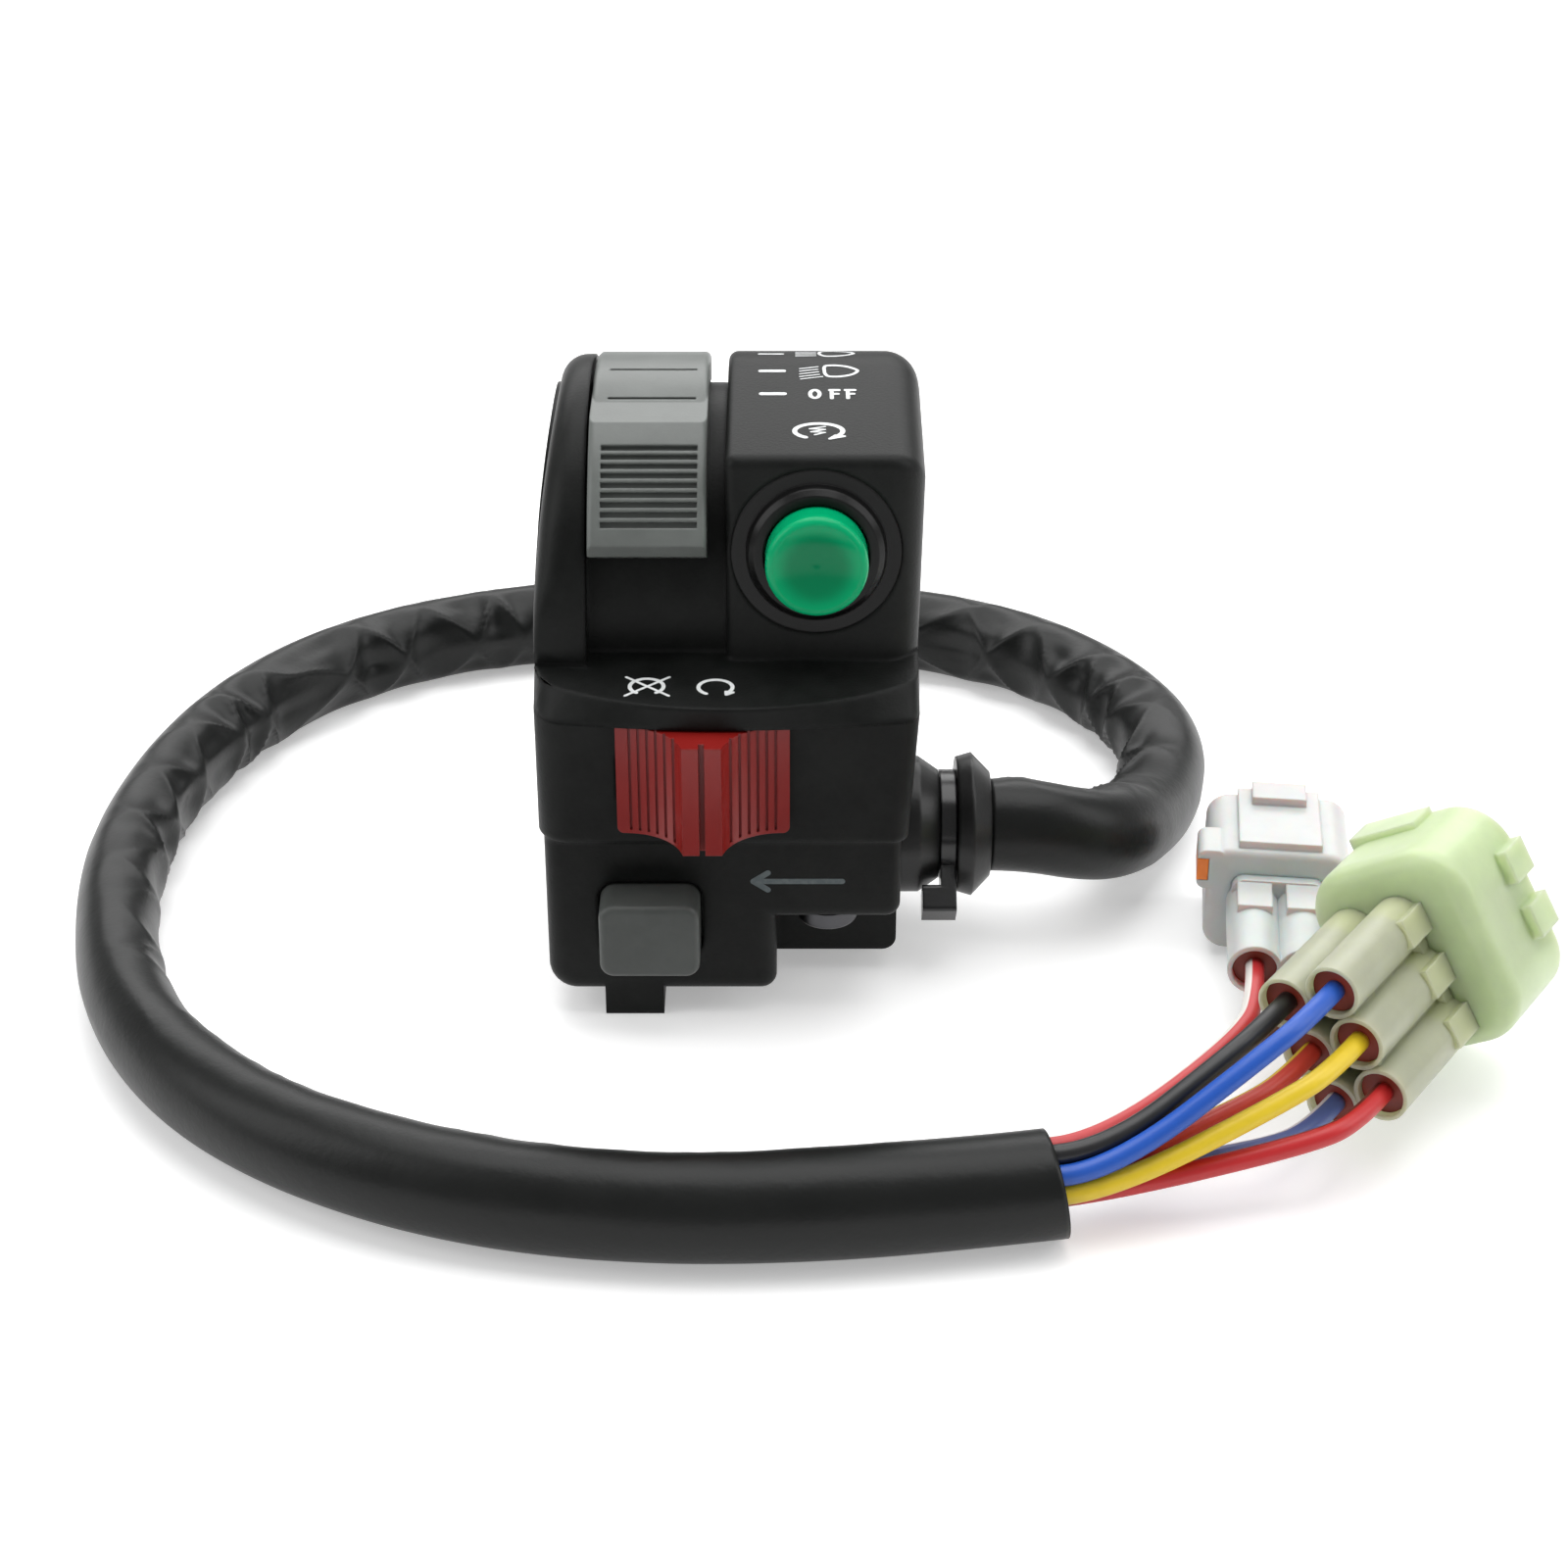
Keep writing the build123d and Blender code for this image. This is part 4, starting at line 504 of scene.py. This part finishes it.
class SWITCH_OT_sleeve(bpy.types.Operator):
    """Lay the soft sleeve round the casing, creased where it bends and open at its cut end"""
    bl_idname = "switch.sleeve"
    bl_label = "Sleeve"

    def execute(self, context):
        finish = Finish("soft_sleeve", base_color=(0.006, 0.0065, 0.0062), roughness=0.4,
                        specular_ior_level=0.24)
        mottle = finish.noise(90.0, 5.0, 0.65)
        finish.set("Base Color", finish.blend(mottle, (0.0045, 0.005, 0.0047), (0.010, 0.0108, 0.0104)))
        finish.set("Roughness", 0.30 + 0.14 * mottle)
        grain = finish.noise(1500.0, 3.0, 0.6) + 3.0 * finish.noise(220.0, 3.0)
        finish.set("Normal", finish.bump(grain, 0.00005, 0.5))
        points = even(spline_points("sleeve", SLEEVE_ROUTE), POINT_STEP)
        piece = tube("sleeve", points, 96, sleeve_radius, finish, wall=0.0008, depth=0.008, slant=0.14)
        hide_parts("harness_sleeve")
        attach(piece, "casing")
        [tuple(point) for point in points[::3]] + [tuple(points[-1])]
        return {"FINISHED"}


class SWITCH_OT_wires(bpy.types.Operator):
    """Run the eight insulated wires from the sleeve's end to the connectors"""
    bl_idname = "switch.wires"
    bl_label = "Wires"

    def execute(self, context):
        for name, route in WIRE_ROUTES.items():
            main, stripe, share = WIRE_COLOURS[name]
            finish = Finish("insulation_" + name, base_color=main, roughness=0.38, specular_ior_level=0.5)
            fine = finish.noise(700.0, 3.0, 0.5)
            colour = finish.blend(fine, tuple(0.88 * channel for channel in main), main)
            if stripe:
                across = finish.axis(finish.uv(), "X")
                band = across.above(STRIPE_START, STRIPE_EDGE) * (
                    1 - across.above(STRIPE_START + share, STRIPE_EDGE))
                colour = finish.blend(band, colour, stripe)
            finish.set("Base Color", colour)
            finish.set("Roughness", 0.32 + 0.14 * fine)
            finish.set("Normal", finish.bump(finish.noise(400.0, 2.0), 0.00005, 0.4))
            points = even(spline_points(name, route), POINT_STEP)
            inside = points[0] - (points[1] - points[0]).normalized() * WIRE_INSIDE
            points = [inside] + points
            piece = tube(name + "_piece", points, 24, wire_radius, finish)
            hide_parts(name)
            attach(piece, "casing")
            [tuple(point) for point in points[::2]] + [tuple(points[-1])]
        return {"FINISHED"}


# Printed symbols

def arc(centre, half_width, half_height, start, end, steps=48):
    """Points of part of an ellipse, between two angles in degrees."""
    angles = [math.radians(start + (end - start) * step / steps) for step in range(steps + 1)]
    return [(centre[0] + half_width * math.cos(angle), centre[1] + half_height * math.sin(angle))
            for angle in angles]


def rounded(points):
    """Smooth closed line through points."""
    made = []
    count = len(points)
    for number in range(count):
        a, b, c, d = (Vector(points[(number + shift) % count]) for shift in (-1, 0, 1, 2))
        for step in range(8):
            t = step / 8
            place = 2 * b + (c - a) * t + (2 * a - 5 * b + 4 * c - d) * t ** 2
            made.append(tuple(0.5 * (place + (3 * b - a - 3 * c + d) * t ** 3)))
    return made + [made[0]]


def letter_f(left, middle, right, top=-3.78, centre=-4.74, low=-5.85):
    """Strokes of the letter F between two sides, with its stem in the middle."""
    return [(0.50, [(middle, top), (middle, low)]), (0.50, [(left, top), (right, top)]),
            (0.44, [(middle, centre), (right - 0.1, centre)])]


# Each symbol: lines with their width, all in millimetres, as seen from above or from the front
TOP_PRINTS = {
    "print_places": [(0.55, [(3.95, 6.74), (6.75, 6.74)]), (0.62, [(4.1, 1.21), (6.95, 1.21)]),
                     (0.70, [(4.25, -4.72), (7.0, -4.72)])],
    "print_off": [(0.50, arc((10.8, -4.76), 0.58, 1.0, 0, 360)), *letter_f(12.68, 12.88, 13.75),
                  *letter_f(14.6, 14.87, 15.7)],
    "print_high_beam": [(0.19, [(8.97, 1.81), (11.24, 2.31)]), (0.19, [(8.97, 1.15), (11.24, 1.64)]),
                        (0.19, [(8.96, 0.42), (11.30, 0.97)]), (0.19, [(8.96, -0.28), (11.40, 0.29)]),
                        (0.19, [(9.07, -0.93), (11.80, -0.28)]),
                        (0.42, rounded([(12.03, 1.27), (12.01, 2.01), (12.24, 2.52), (12.88, 2.64),
                                        (13.61, 2.62), (14.87, 2.31), (15.77, 1.75), (16.18, 1.22),
                                        (15.74, 0.50), (15.01, 0.04), (13.92, -0.28), (12.62, -0.24),
                                        (12.13, 0.41)]))],
    "print_low_beam": [
        *[(0.17, [(8.5, 5.70 + 0.5 * row), (11.0, 5.85 + 0.5 * row)]) for row in range(5)],
        (0.40, rounded([(11.42, 7.1), (11.6, 6.25), (12.1, 5.72), (13.1, 5.62), (14.3, 5.85), (15.3, 6.35),
                        (15.8, 6.95), (15.3, 7.65), (14.1, 8.2), (12.6, 8.45), (11.7, 8.0)]))],
    "print_start": [(0.60, arc((11.18, -14.03), 2.9, 1.82, -30, 237)),
                    (0.24, [(11.97, -12.95), (10.1, -13.5)]), (0.24, [(10.1, -13.5), (11.97, -13.68)]),
                    (0.24, [(11.97, -13.68), (10.25, -14.25)]),
                    (0.24, [(10.25, -14.25), (11.95, -14.42)]), (0.24, [(11.95, -14.42), (10.7, -14.98)]),
                    (0.40, [(12.5, -15.95), (13.2, -15.15)]), (0.40, [(13.2, -15.15), (14.25, -15.35)]),
                    (0.40, [(12.5, -15.95), (14.25, -15.35)]), (0.45, [(13.0, -15.55), (13.6, -15.35)])],
    "print_stop_place": [(0.36, [(-12.05, -27.05), (-6.8, -31.25)]),
                         (0.36, [(-6.85, -27.05), (-12.05, -31.25)]),
                         (0.48, arc((-9.52, -29.16), 2.03, 1.74, -54, 234))],
    "print_run_place": [(0.48, arc((-1.24, -29.34), 2.05, 1.68, -38, 238)),
                        (0.42, [(0.05, -30.35), (0.88, -30.5)]), (0.42, [(0.05, -30.35), (0.1, -31.0)]),
                        (0.42, [(0.1, -31.0), (0.88, -30.5)])],
}
FRONT_PRINTS = {
    "print_pointer": [(0.75, [(3.2, -22.6), (14.2, -22.6)]), (0.75, [(3.2, -22.6), (5.0, -21.4)]),
                      (0.75, [(3.2, -22.6), (5.0, -23.8)])],
}


# A line's points lie this far apart, in millimetres, and its round ends go this far out and this wide
LINE_STEP = 0.18
ROUND_END = ((0.38, 0.92), (0.71, 0.70), (0.92, 0.38), (1.0, 0.05))

# The print's thickness, its height over the face, what each later line adds to that, and where its rays start
PRINT_THICKNESS = 0.00003
PRINT_LIFT = 0.000012
LAYER_LIFT = 0.000003
RAY_START = 0.06


def outline(points, width):
    """Left and right edges of a line of a width, with round ends, as pairs in order."""
    line = [Vector(points[0])]
    for before, after in zip(points, points[1:]):
        before, after = Vector(before), Vector(after)
        count = max(1, round((after - before).length / LINE_STEP))
        line += [before.lerp(after, step / count) for step in range(1, count + 1)]
    shut = (line[0] - line[-1]).length < 1e-4
    half = width / 2
    stations = []
    for number, place in enumerate(line):
        before = line[number - 1] if number else (line[-2] if shut else place)
        after = line[number + 1] if number < len(line) - 1 else (line[1] if shut else place)
        stations.append((place, (after - before).normalized(), half))
    if not shut:
        (first, out, _), (last, on, _) = stations[0], stations[-1]
        stations[:0] = [(first - out * half * far, out, half * wide) for far, wide in reversed(ROUND_END)]
        stations += [(last + on * half * far, on, half * wide) for far, wide in ROUND_END]
    return [(place + Vector((-way.y, way.x)) * reach, place - Vector((-way.y, way.x)) * reach)
            for place, way, reach in stations]


def printed(name, lines, carrier, from_front, finish):
    """Thin raised print of lines, laid on the face of a solid node that it is seen against."""
    vertices, faces = [], []
    for layer, (width, points) in enumerate(lines):
        pairs = outline(points, width)
        for number in range(len(pairs) - 1):
            corner = len(vertices) + 2 * number
            faces.append((corner, corner + 1, corner + 3, corner + 2))
        for flat in (edge for pair in pairs for edge in pair):
            if from_front:
                start, way = Vector((flat.x * MM, -RAY_START, flat.y * MM)), Vector((0, 1, 0))
            else:
                start, way = Vector((flat.x * MM, flat.y * MM, RAY_START)), Vector((0, 0, -1))
            found, place, normal, _ = nodes[carrier].ray_cast(start, way)
            if not found:
                raise RuntimeError(name + " misses the face that carries it")
            vertices.append(place + normal * (PRINT_LIFT + LAYER_LIFT * layer))
    piece = new_piece(name, vertices, faces, finish, smooth=False)
    edit_all(piece, bpy.ops.mesh.normals_make_consistent, inside=False)
    bpy.ops.object.modifier_add(type="SOLIDIFY")
    piece.modifiers[0].thickness = PRINT_THICKNESS
    piece.modifiers[0].offset = 0.0
    bpy.ops.object.modifier_apply(modifier=piece.modifiers[0].name)
    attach(piece, "casing")


def ink(name, dark, pale):
    """Matt ink with a fine unevenness of tone."""
    finish = Finish(name, roughness=0.5, specular_ior_level=0.3)
    fine = finish.noise(1400.0, 4.0, 0.6)
    finish.set("Base Color", finish.blend(fine.above(0.52, 0.3), dark, pale))
    finish.set("Normal", finish.bump(fine, 0.00001, 0.5))
    return finish


class SWITCH_OT_prints(bpy.types.Operator):
    """Print the generic symbols beside each control"""
    bl_idname = "switch.prints"
    bl_label = "Prints"

    def execute(self, context):
        colour = tuple(settings().print_colour)
        white = ink("print_white", tuple(0.86 * part for part in colour), colour)
        grey = ink("print_grey", (0.10, 0.125, 0.13), (0.13, 0.155, 0.16))
        for name, lines in TOP_PRINTS.items():
            printed(name, lines, "upper_casing", False, white)
        for name, lines in FRONT_PRINTS.items():
            printed(name, lines, "lower_casing", True, grey)
        return {"FINISHED"}


# Casing and controls

def merged_copy(node, name, finish):
    """New piece that stands for a node, with the node's own shape and its loose triangles joined."""
    piece = bpy.data.objects.new(name, nodes[node].data.copy())
    bpy.context.collection.objects.link(piece)
    edit_all(piece, bpy.ops.mesh.remove_doubles, threshold=0.000001)
    wear_only(piece, finish)
    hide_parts(node)
    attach(piece, "casing")
    return piece


# Left wall of the casing, in millimetres and degrees: the centre and radius of its arc, where its rim
# starts and ends, its side, its side's bow and the radius that its rim is rounded to
FIN_CENTRE = (2.0, 6.0)
FIN_RADIUS = 26.7
FIN_START = 182
FIN_END = 38
FIN_SIDE = -23.4
FIN_BOW = 165.0
FIN_ROUND = 3.5

# The rounding at the front as a share of the whole, and the share of the rim over which it grows
ROUND_START = 0.12
ROUND_GROWTH = 0.2


def rim_cutter():
    """What is taken off the left wall's outer rim to round it, growing from little at the front."""
    steps, turns, spare = 10, 90, 1
    vertices, faces = [], []
    for turn in range(turns + 1):
        angle = math.radians(FIN_START + (FIN_END - FIN_START) * turn / turns)
        share = min(1.0, turn / turns / ROUND_GROWTH)
        radius = FIN_ROUND * (ROUND_START + (1 - ROUND_START) * share * share * (3 - 2 * share))
        rise = max(0.0, FIN_RADIUS * math.sin(angle))
        side = FIN_SIDE + FIN_BOW - math.sqrt(FIN_BOW ** 2 - rise ** 2)
        section = [(side - spare, FIN_RADIUS - radius)]
        for step in range(steps + 1):
            bend = math.radians(180 - 90 * step / steps)
            section.append((side + radius * (1 + math.cos(bend)), FIN_RADIUS - radius * (1 - math.sin(bend))))
        section += [(side + radius, FIN_RADIUS + spare), (side - spare, FIN_RADIUS + spare)]
        for x, reach in section:
            place = (x, FIN_CENTRE[0] + reach * math.cos(angle), FIN_CENTRE[1] + reach * math.sin(angle))
            vertices.append(Vector(place) * MM)
    around = len(section)
    strips(faces, turns + 1, around)
    faces += [tuple(reversed(range(around))), tuple(range(turns * around, (turns + 1) * around))]
    cutter = mesh_object("rim_cutter", vertices, faces)
    edit_all(cutter, bpy.ops.mesh.normals_make_consistent, inside=False)
    return cutter


def round_fin(finish):
    """Upper casing with the outer rim of its left wall rounded."""
    piece = merged_copy("upper_casing", "upper_casing_rounded", finish)
    cutter = rim_cutter()
    pick(piece)
    bpy.ops.object.modifier_add(type="BOOLEAN")
    cut = piece.modifiers[0]
    cut.operation = "DIFFERENCE"
    cut.solver = "EXACT"
    cut.object = cutter
    bpy.ops.object.modifier_apply(modifier=cut.name)
    bpy.data.objects.remove(cutter)
    bpy.ops.mesh.customdata_custom_splitnormals_clear()
    bpy.ops.object.shade_smooth_by_angle(angle=math.radians(25))
    wear_only(piece, finish)


class SWITCH_OT_casing(bpy.types.Operator):
    """Finish the casing halves and their screws"""
    bl_idname = "switch.casing"
    bl_label = "Casing"

    def execute(self, context):
        data = settings()
        black = moulded("casing_black_grain", tuple(data.casing_colour), 0.44, grain=0.00003, worn=0.35,
                        edge=0.0009, shine=0.15)
        dress(["upper_casing", "lower_casing"], black)
        round_fin(black)
        dress(["casing_screws"], metal("screw_dark", (0.08, 0.08, 0.085), 0.35))
        return {"FINISHED"}


# Upward direction on the start button's leaning face, as Y and Z, and the radius and soft edge of the painted
# shade in the middle of that face
BUTTON_LEAN = (0.0906, 0.9959)
PAINTED_SHADE_RADIUS = 0.0042
PAINTED_SHADE_EDGE = 0.0026


class SWITCH_OT_controls(bpy.types.Operator):
    """Finish the four controls and what is inside them"""
    bl_idname = "switch.controls"
    bl_label = "Controls"

    def execute(self, context):
        data = settings()
        grey = moulded("control_grey", tuple(data.grey_colour), 0.38, grain=0.000012, worn=0.12, edge=0.0004,
                       shine=0.4)
        dress(["light_knob"], grey)
        dark = tuple(0.62 * part for part in data.grey_colour)
        dress(["override_button"], moulded("override_satin", dark, 0.4, grain=0.000012, worn=0.12,
                                           edge=0.0004, shine=0.35))
        dress(["start_bezel"], moulded("bezel_satin", (0.005, 0.005, 0.005), 0.30, grain=0.00001, worn=0.1,
                                       edge=0.0003, shine=0.2))
        low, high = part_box("start_button")
        middle = (low + high) / 2
        green = moulded("start_gloss", data.start_colour, 0.18, worn=0.05, edge=0.0004, shine=0.18)
        place = green.place()
        across = green.axis(place, "X") - middle[0]
        upward = ((green.axis(place, "Y") - middle[1]) * BUTTON_LEAN[0]
                  + (green.axis(place, "Z") - middle[2]) * BUTTON_LEAN[1])
        out = (across * across + upward * upward) ** 0.5
        # Painted shade: the middle of the dished face is darkened to stand for its dark reflection, and the
        # rim keeps the button's own green
        bright = tuple(data.start_colour)
        painted_shade_green = tuple(0.58 * part for part in bright)
        green.set("Base Color", green.blend(out.above(PAINTED_SHADE_RADIUS, PAINTED_SHADE_EDGE), painted_shade_green, bright))
        dress(["start_button"], green)
        dress(["kill_knob"], moulded("stop_gloss", tuple(data.stop_colour), 0.3, worn=0.06, edge=0.00012,
                                     shine=0.4))
        dress(["light_carrier", "light_contact_base", "start_contact_base", "kill_carrier",
               "kill_contact_base", "override_contact_base"],
              moulded("inner_plain", (0.35, 0.33, 0.28), 0.5, grain=0.00001, worn=0.1))
        dress(["light_bridge", "light_contacts", "start_bridge", "start_contacts", "kill_bridge",
               "kill_contacts", "override_bridge", "override_contacts", "six_way_terminals",
               "two_way_terminals"], metal("contact_brass_bare", (0.72, 0.55, 0.28), 0.28))
        dress(["light_detent_ball", "light_detent_spring", "kill_base_screws",
               "kill_detent_ball", "kill_detent_spring"],
              metal("spring_steel_bright", (0.6, 0.6, 0.62), 0.25))
        return {"FINISHED"}


class SWITCH_OT_springs(bpy.types.Operator):
    """Make the two return springs as copies of their solid coils"""
    bl_idname = "switch.springs"
    bl_label = "Return springs"

    def execute(self, context):
        steel = metal("return_spring_steel", (0.6, 0.6, 0.62), 0.25)
        springs = (("start_return_spring", "start_press", (0, 0.995884, -0.090633)),
                   ("override_return_spring", "override_press", (0, 1, 0)))
        for node, joint, axis in springs:
            piece = merged_copy(node, node + "_coil", steel)
            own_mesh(piece)
        return {"FINISHED"}


class SWITCH_OT_entry(bpy.types.Operator):
    """Finish the grommet and the tie where the lead enters"""
    bl_idname = "switch.entry"
    bl_label = "Lead entry"

    def execute(self, context):
        dress(["cable_grommet"], moulded("grommet_soft", (0.006, 0.006, 0.006), 0.34, grain=0.00002,
                                         edge=0.0006, worn=0.3, shine=0.4))
        dress(["cable_tie"], moulded("tie_satin", (0.006, 0.006, 0.0065), 0.22, grain=0.00001, edge=0.0003))
        return {"FINISHED"}


class SWITCH_OT_connectors(bpy.types.Operator):
    """Finish the two sealed connectors"""
    bl_idname = "switch.connectors"
    bl_label = "Connectors"

    def execute(self, context):
        data = settings()
        pale = moulded("housing_milky", tuple(data.housing_colour), 0.34, grain=0.00001, worn=0.06,
                       edge=0.0006, shine=0.4)
        tubes = moulded("housing_clear", (0.585, 0.615, 0.39), 0.34, grain=0.00001, worn=0.06, edge=0.0003,
                        shine=0.4)
        for milky in (pale, tubes):
            milky.set("Subsurface Weight", 0.8)
            milky.set("Subsurface Radius", (1.0, 1.0, 0.7))
            milky.set("Subsurface Scale", 0.004)
            milky.set("Transmission Weight", 0.25)
        dress(["six_way_collar"], pale)
        dress(["six_way_housing"], tubes)
        white = moulded("housing_white", (0.56, 0.57, 0.56), 0.36, grain=0.00001, worn=0.05, edge=0.0005)
        white.set("Subsurface Weight", 0.5)
        white.set("Subsurface Scale", 0.003)
        dress(["two_way_housing", "two_way_head"], white)
        dress(["six_way_seals", "six_way_ring_seal", "two_way_seals", "two_way_ring_seal"],
              moulded("seal_dark_red", (0.20, 0.022, 0.010), 0.45, grain=0.00001, edge=0.0002))
        dress(["two_way_retainer"], moulded("retainer_bright", (0.95, 0.20, 0.015), 0.34, edge=0.0003))
        return {"FINISHED"}


FLOOR_HEIGHT = -0.0421

# Camera fitted to the photograph: place, degrees that it looks down, and its lens in the photograph's pixels
CAMERA_PLACE = (0.007, -0.3364, 0.1534)
CAMERA_DROP = 28
SENSOR_WIDTH = 36.0
FOCAL_PIXELS = 2900
PHOTO_PIXELS = 1600


class SWITCH_OT_stage(bpy.types.Operator):
    """Set the pale floor, the soft lamps and the camera"""
    bl_idname = "switch.stage"
    bl_label = "Stage"

    def execute(self, context):
        scene = bpy.context.scene
        scene.view_settings.view_transform = "Standard"
        bpy.ops.object.select_all(action="DESELECT")
        bpy.ops.mesh.primitive_plane_add(size=8.0, location=(0, 0, FLOOR_HEIGHT))
        floor = bpy.context.object
        floor.name = "floor"
        finish = Finish("pale_floor", base_color=(0.86, 0.86, 0.86), roughness=0.9, specular_ior_level=0.0)
        rays = finish.node("ShaderNodeLightPath", output="Is Camera Ray")
        mirror = finish.node("ShaderNodeLightPath", output="Is Glossy Ray")
        through = finish.node("ShaderNodeLightPath", output="Is Transmission Ray")
        finish.set("Emission Color", (1.0, 1.0, 1.0))
        finish.set("Emission Strength", 0.35 * (rays + mirror + through))
        floor.data.materials.append(finish.material)

        world = scene.world or bpy.data.worlds.new("studio")
        scene.world = world
        world.use_nodes = True
        background = world.node_tree.nodes["Background"]
        background.inputs["Color"].default_value = (1.0, 1.0, 1.0, 1.0)
        background.inputs["Strength"].default_value = 0.36

        def lamp(name, place, aim, size, power):
            light = bpy.data.lights.new(name, "AREA")
            light.shape = "RECTANGLE"
            light.size, light.size_y = size
            light.energy = power
            made = bpy.data.objects.new(name, light)
            made.location = place
            made.rotation_euler = (Vector(aim) - Vector(place)).to_track_quat("-Z", "Y").to_euler()
            bpy.context.collection.objects.link(made)

        lamp("overhead", (0.05, 0.15, 1.0), (0, 0, 0), (1.1, 0.8), settings().light_power)
        lamp("left_box", (-0.9, -0.2, 0.55), (0, 0, 0), (0.5, 0.8), 3.5)
        lamp("rear_box", (0, 0.85, 0.62), (0, 0, 0), (1.5, 0.5), 7.2)
        lamp("right_box", (0.9, -0.1, 0.6), (0, 0, 0), (0.5, 0.8), 3.5)

        camera_data = bpy.data.cameras.new("camera")
        camera_data.sensor_width = SENSOR_WIDTH
        camera_data.lens = SENSOR_WIDTH * FOCAL_PIXELS / PHOTO_PIXELS
        camera_data.clip_start = 0.01
        camera = bpy.data.objects.new("camera", camera_data)
        camera.location = CAMERA_PLACE
        camera.rotation_euler = (math.radians(90 - CAMERA_DROP), 0, 0)
        bpy.context.collection.objects.link(camera)
        scene.camera = camera
        return {"FINISHED"}


class SWITCH_PT_panel(bpy.types.Panel):
    """Steps that dress the switch cluster"""
    bl_label = "Handlebar switch"
    bl_idname = "SWITCH_PT_panel"
    bl_space_type = "VIEW_3D"
    bl_region_type = "UI"
    bl_category = "Switch"

    def draw(self, context):
        for name in SwitchSettings.__annotations__:
            self.layout.prop(context.scene.switch_settings, name)
        for kind in OPERATORS:
            self.layout.operator(kind.bl_idname)


OPERATORS = (SWITCH_OT_stage, SWITCH_OT_sleeve, SWITCH_OT_wires, SWITCH_OT_prints, SWITCH_OT_casing,
             SWITCH_OT_controls, SWITCH_OT_springs, SWITCH_OT_entry, SWITCH_OT_connectors)


def register():
    for kind in (SwitchSettings, *OPERATORS, SWITCH_PT_panel):
        bpy.utils.register_class(kind)
    bpy.types.Scene.switch_settings = PointerProperty(type=SwitchSettings)


def unregister():
    del bpy.types.Scene.switch_settings
    for kind in reversed((SwitchSettings, *OPERATORS, SWITCH_PT_panel)):
        bpy.utils.unregister_class(kind)


def main():
    register()
    for kind in OPERATORS:
        group, step = kind.bl_idname.split(".")
        getattr(getattr(bpy.ops, group), step)()
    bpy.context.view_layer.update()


if __name__ == "__main__":
    main()
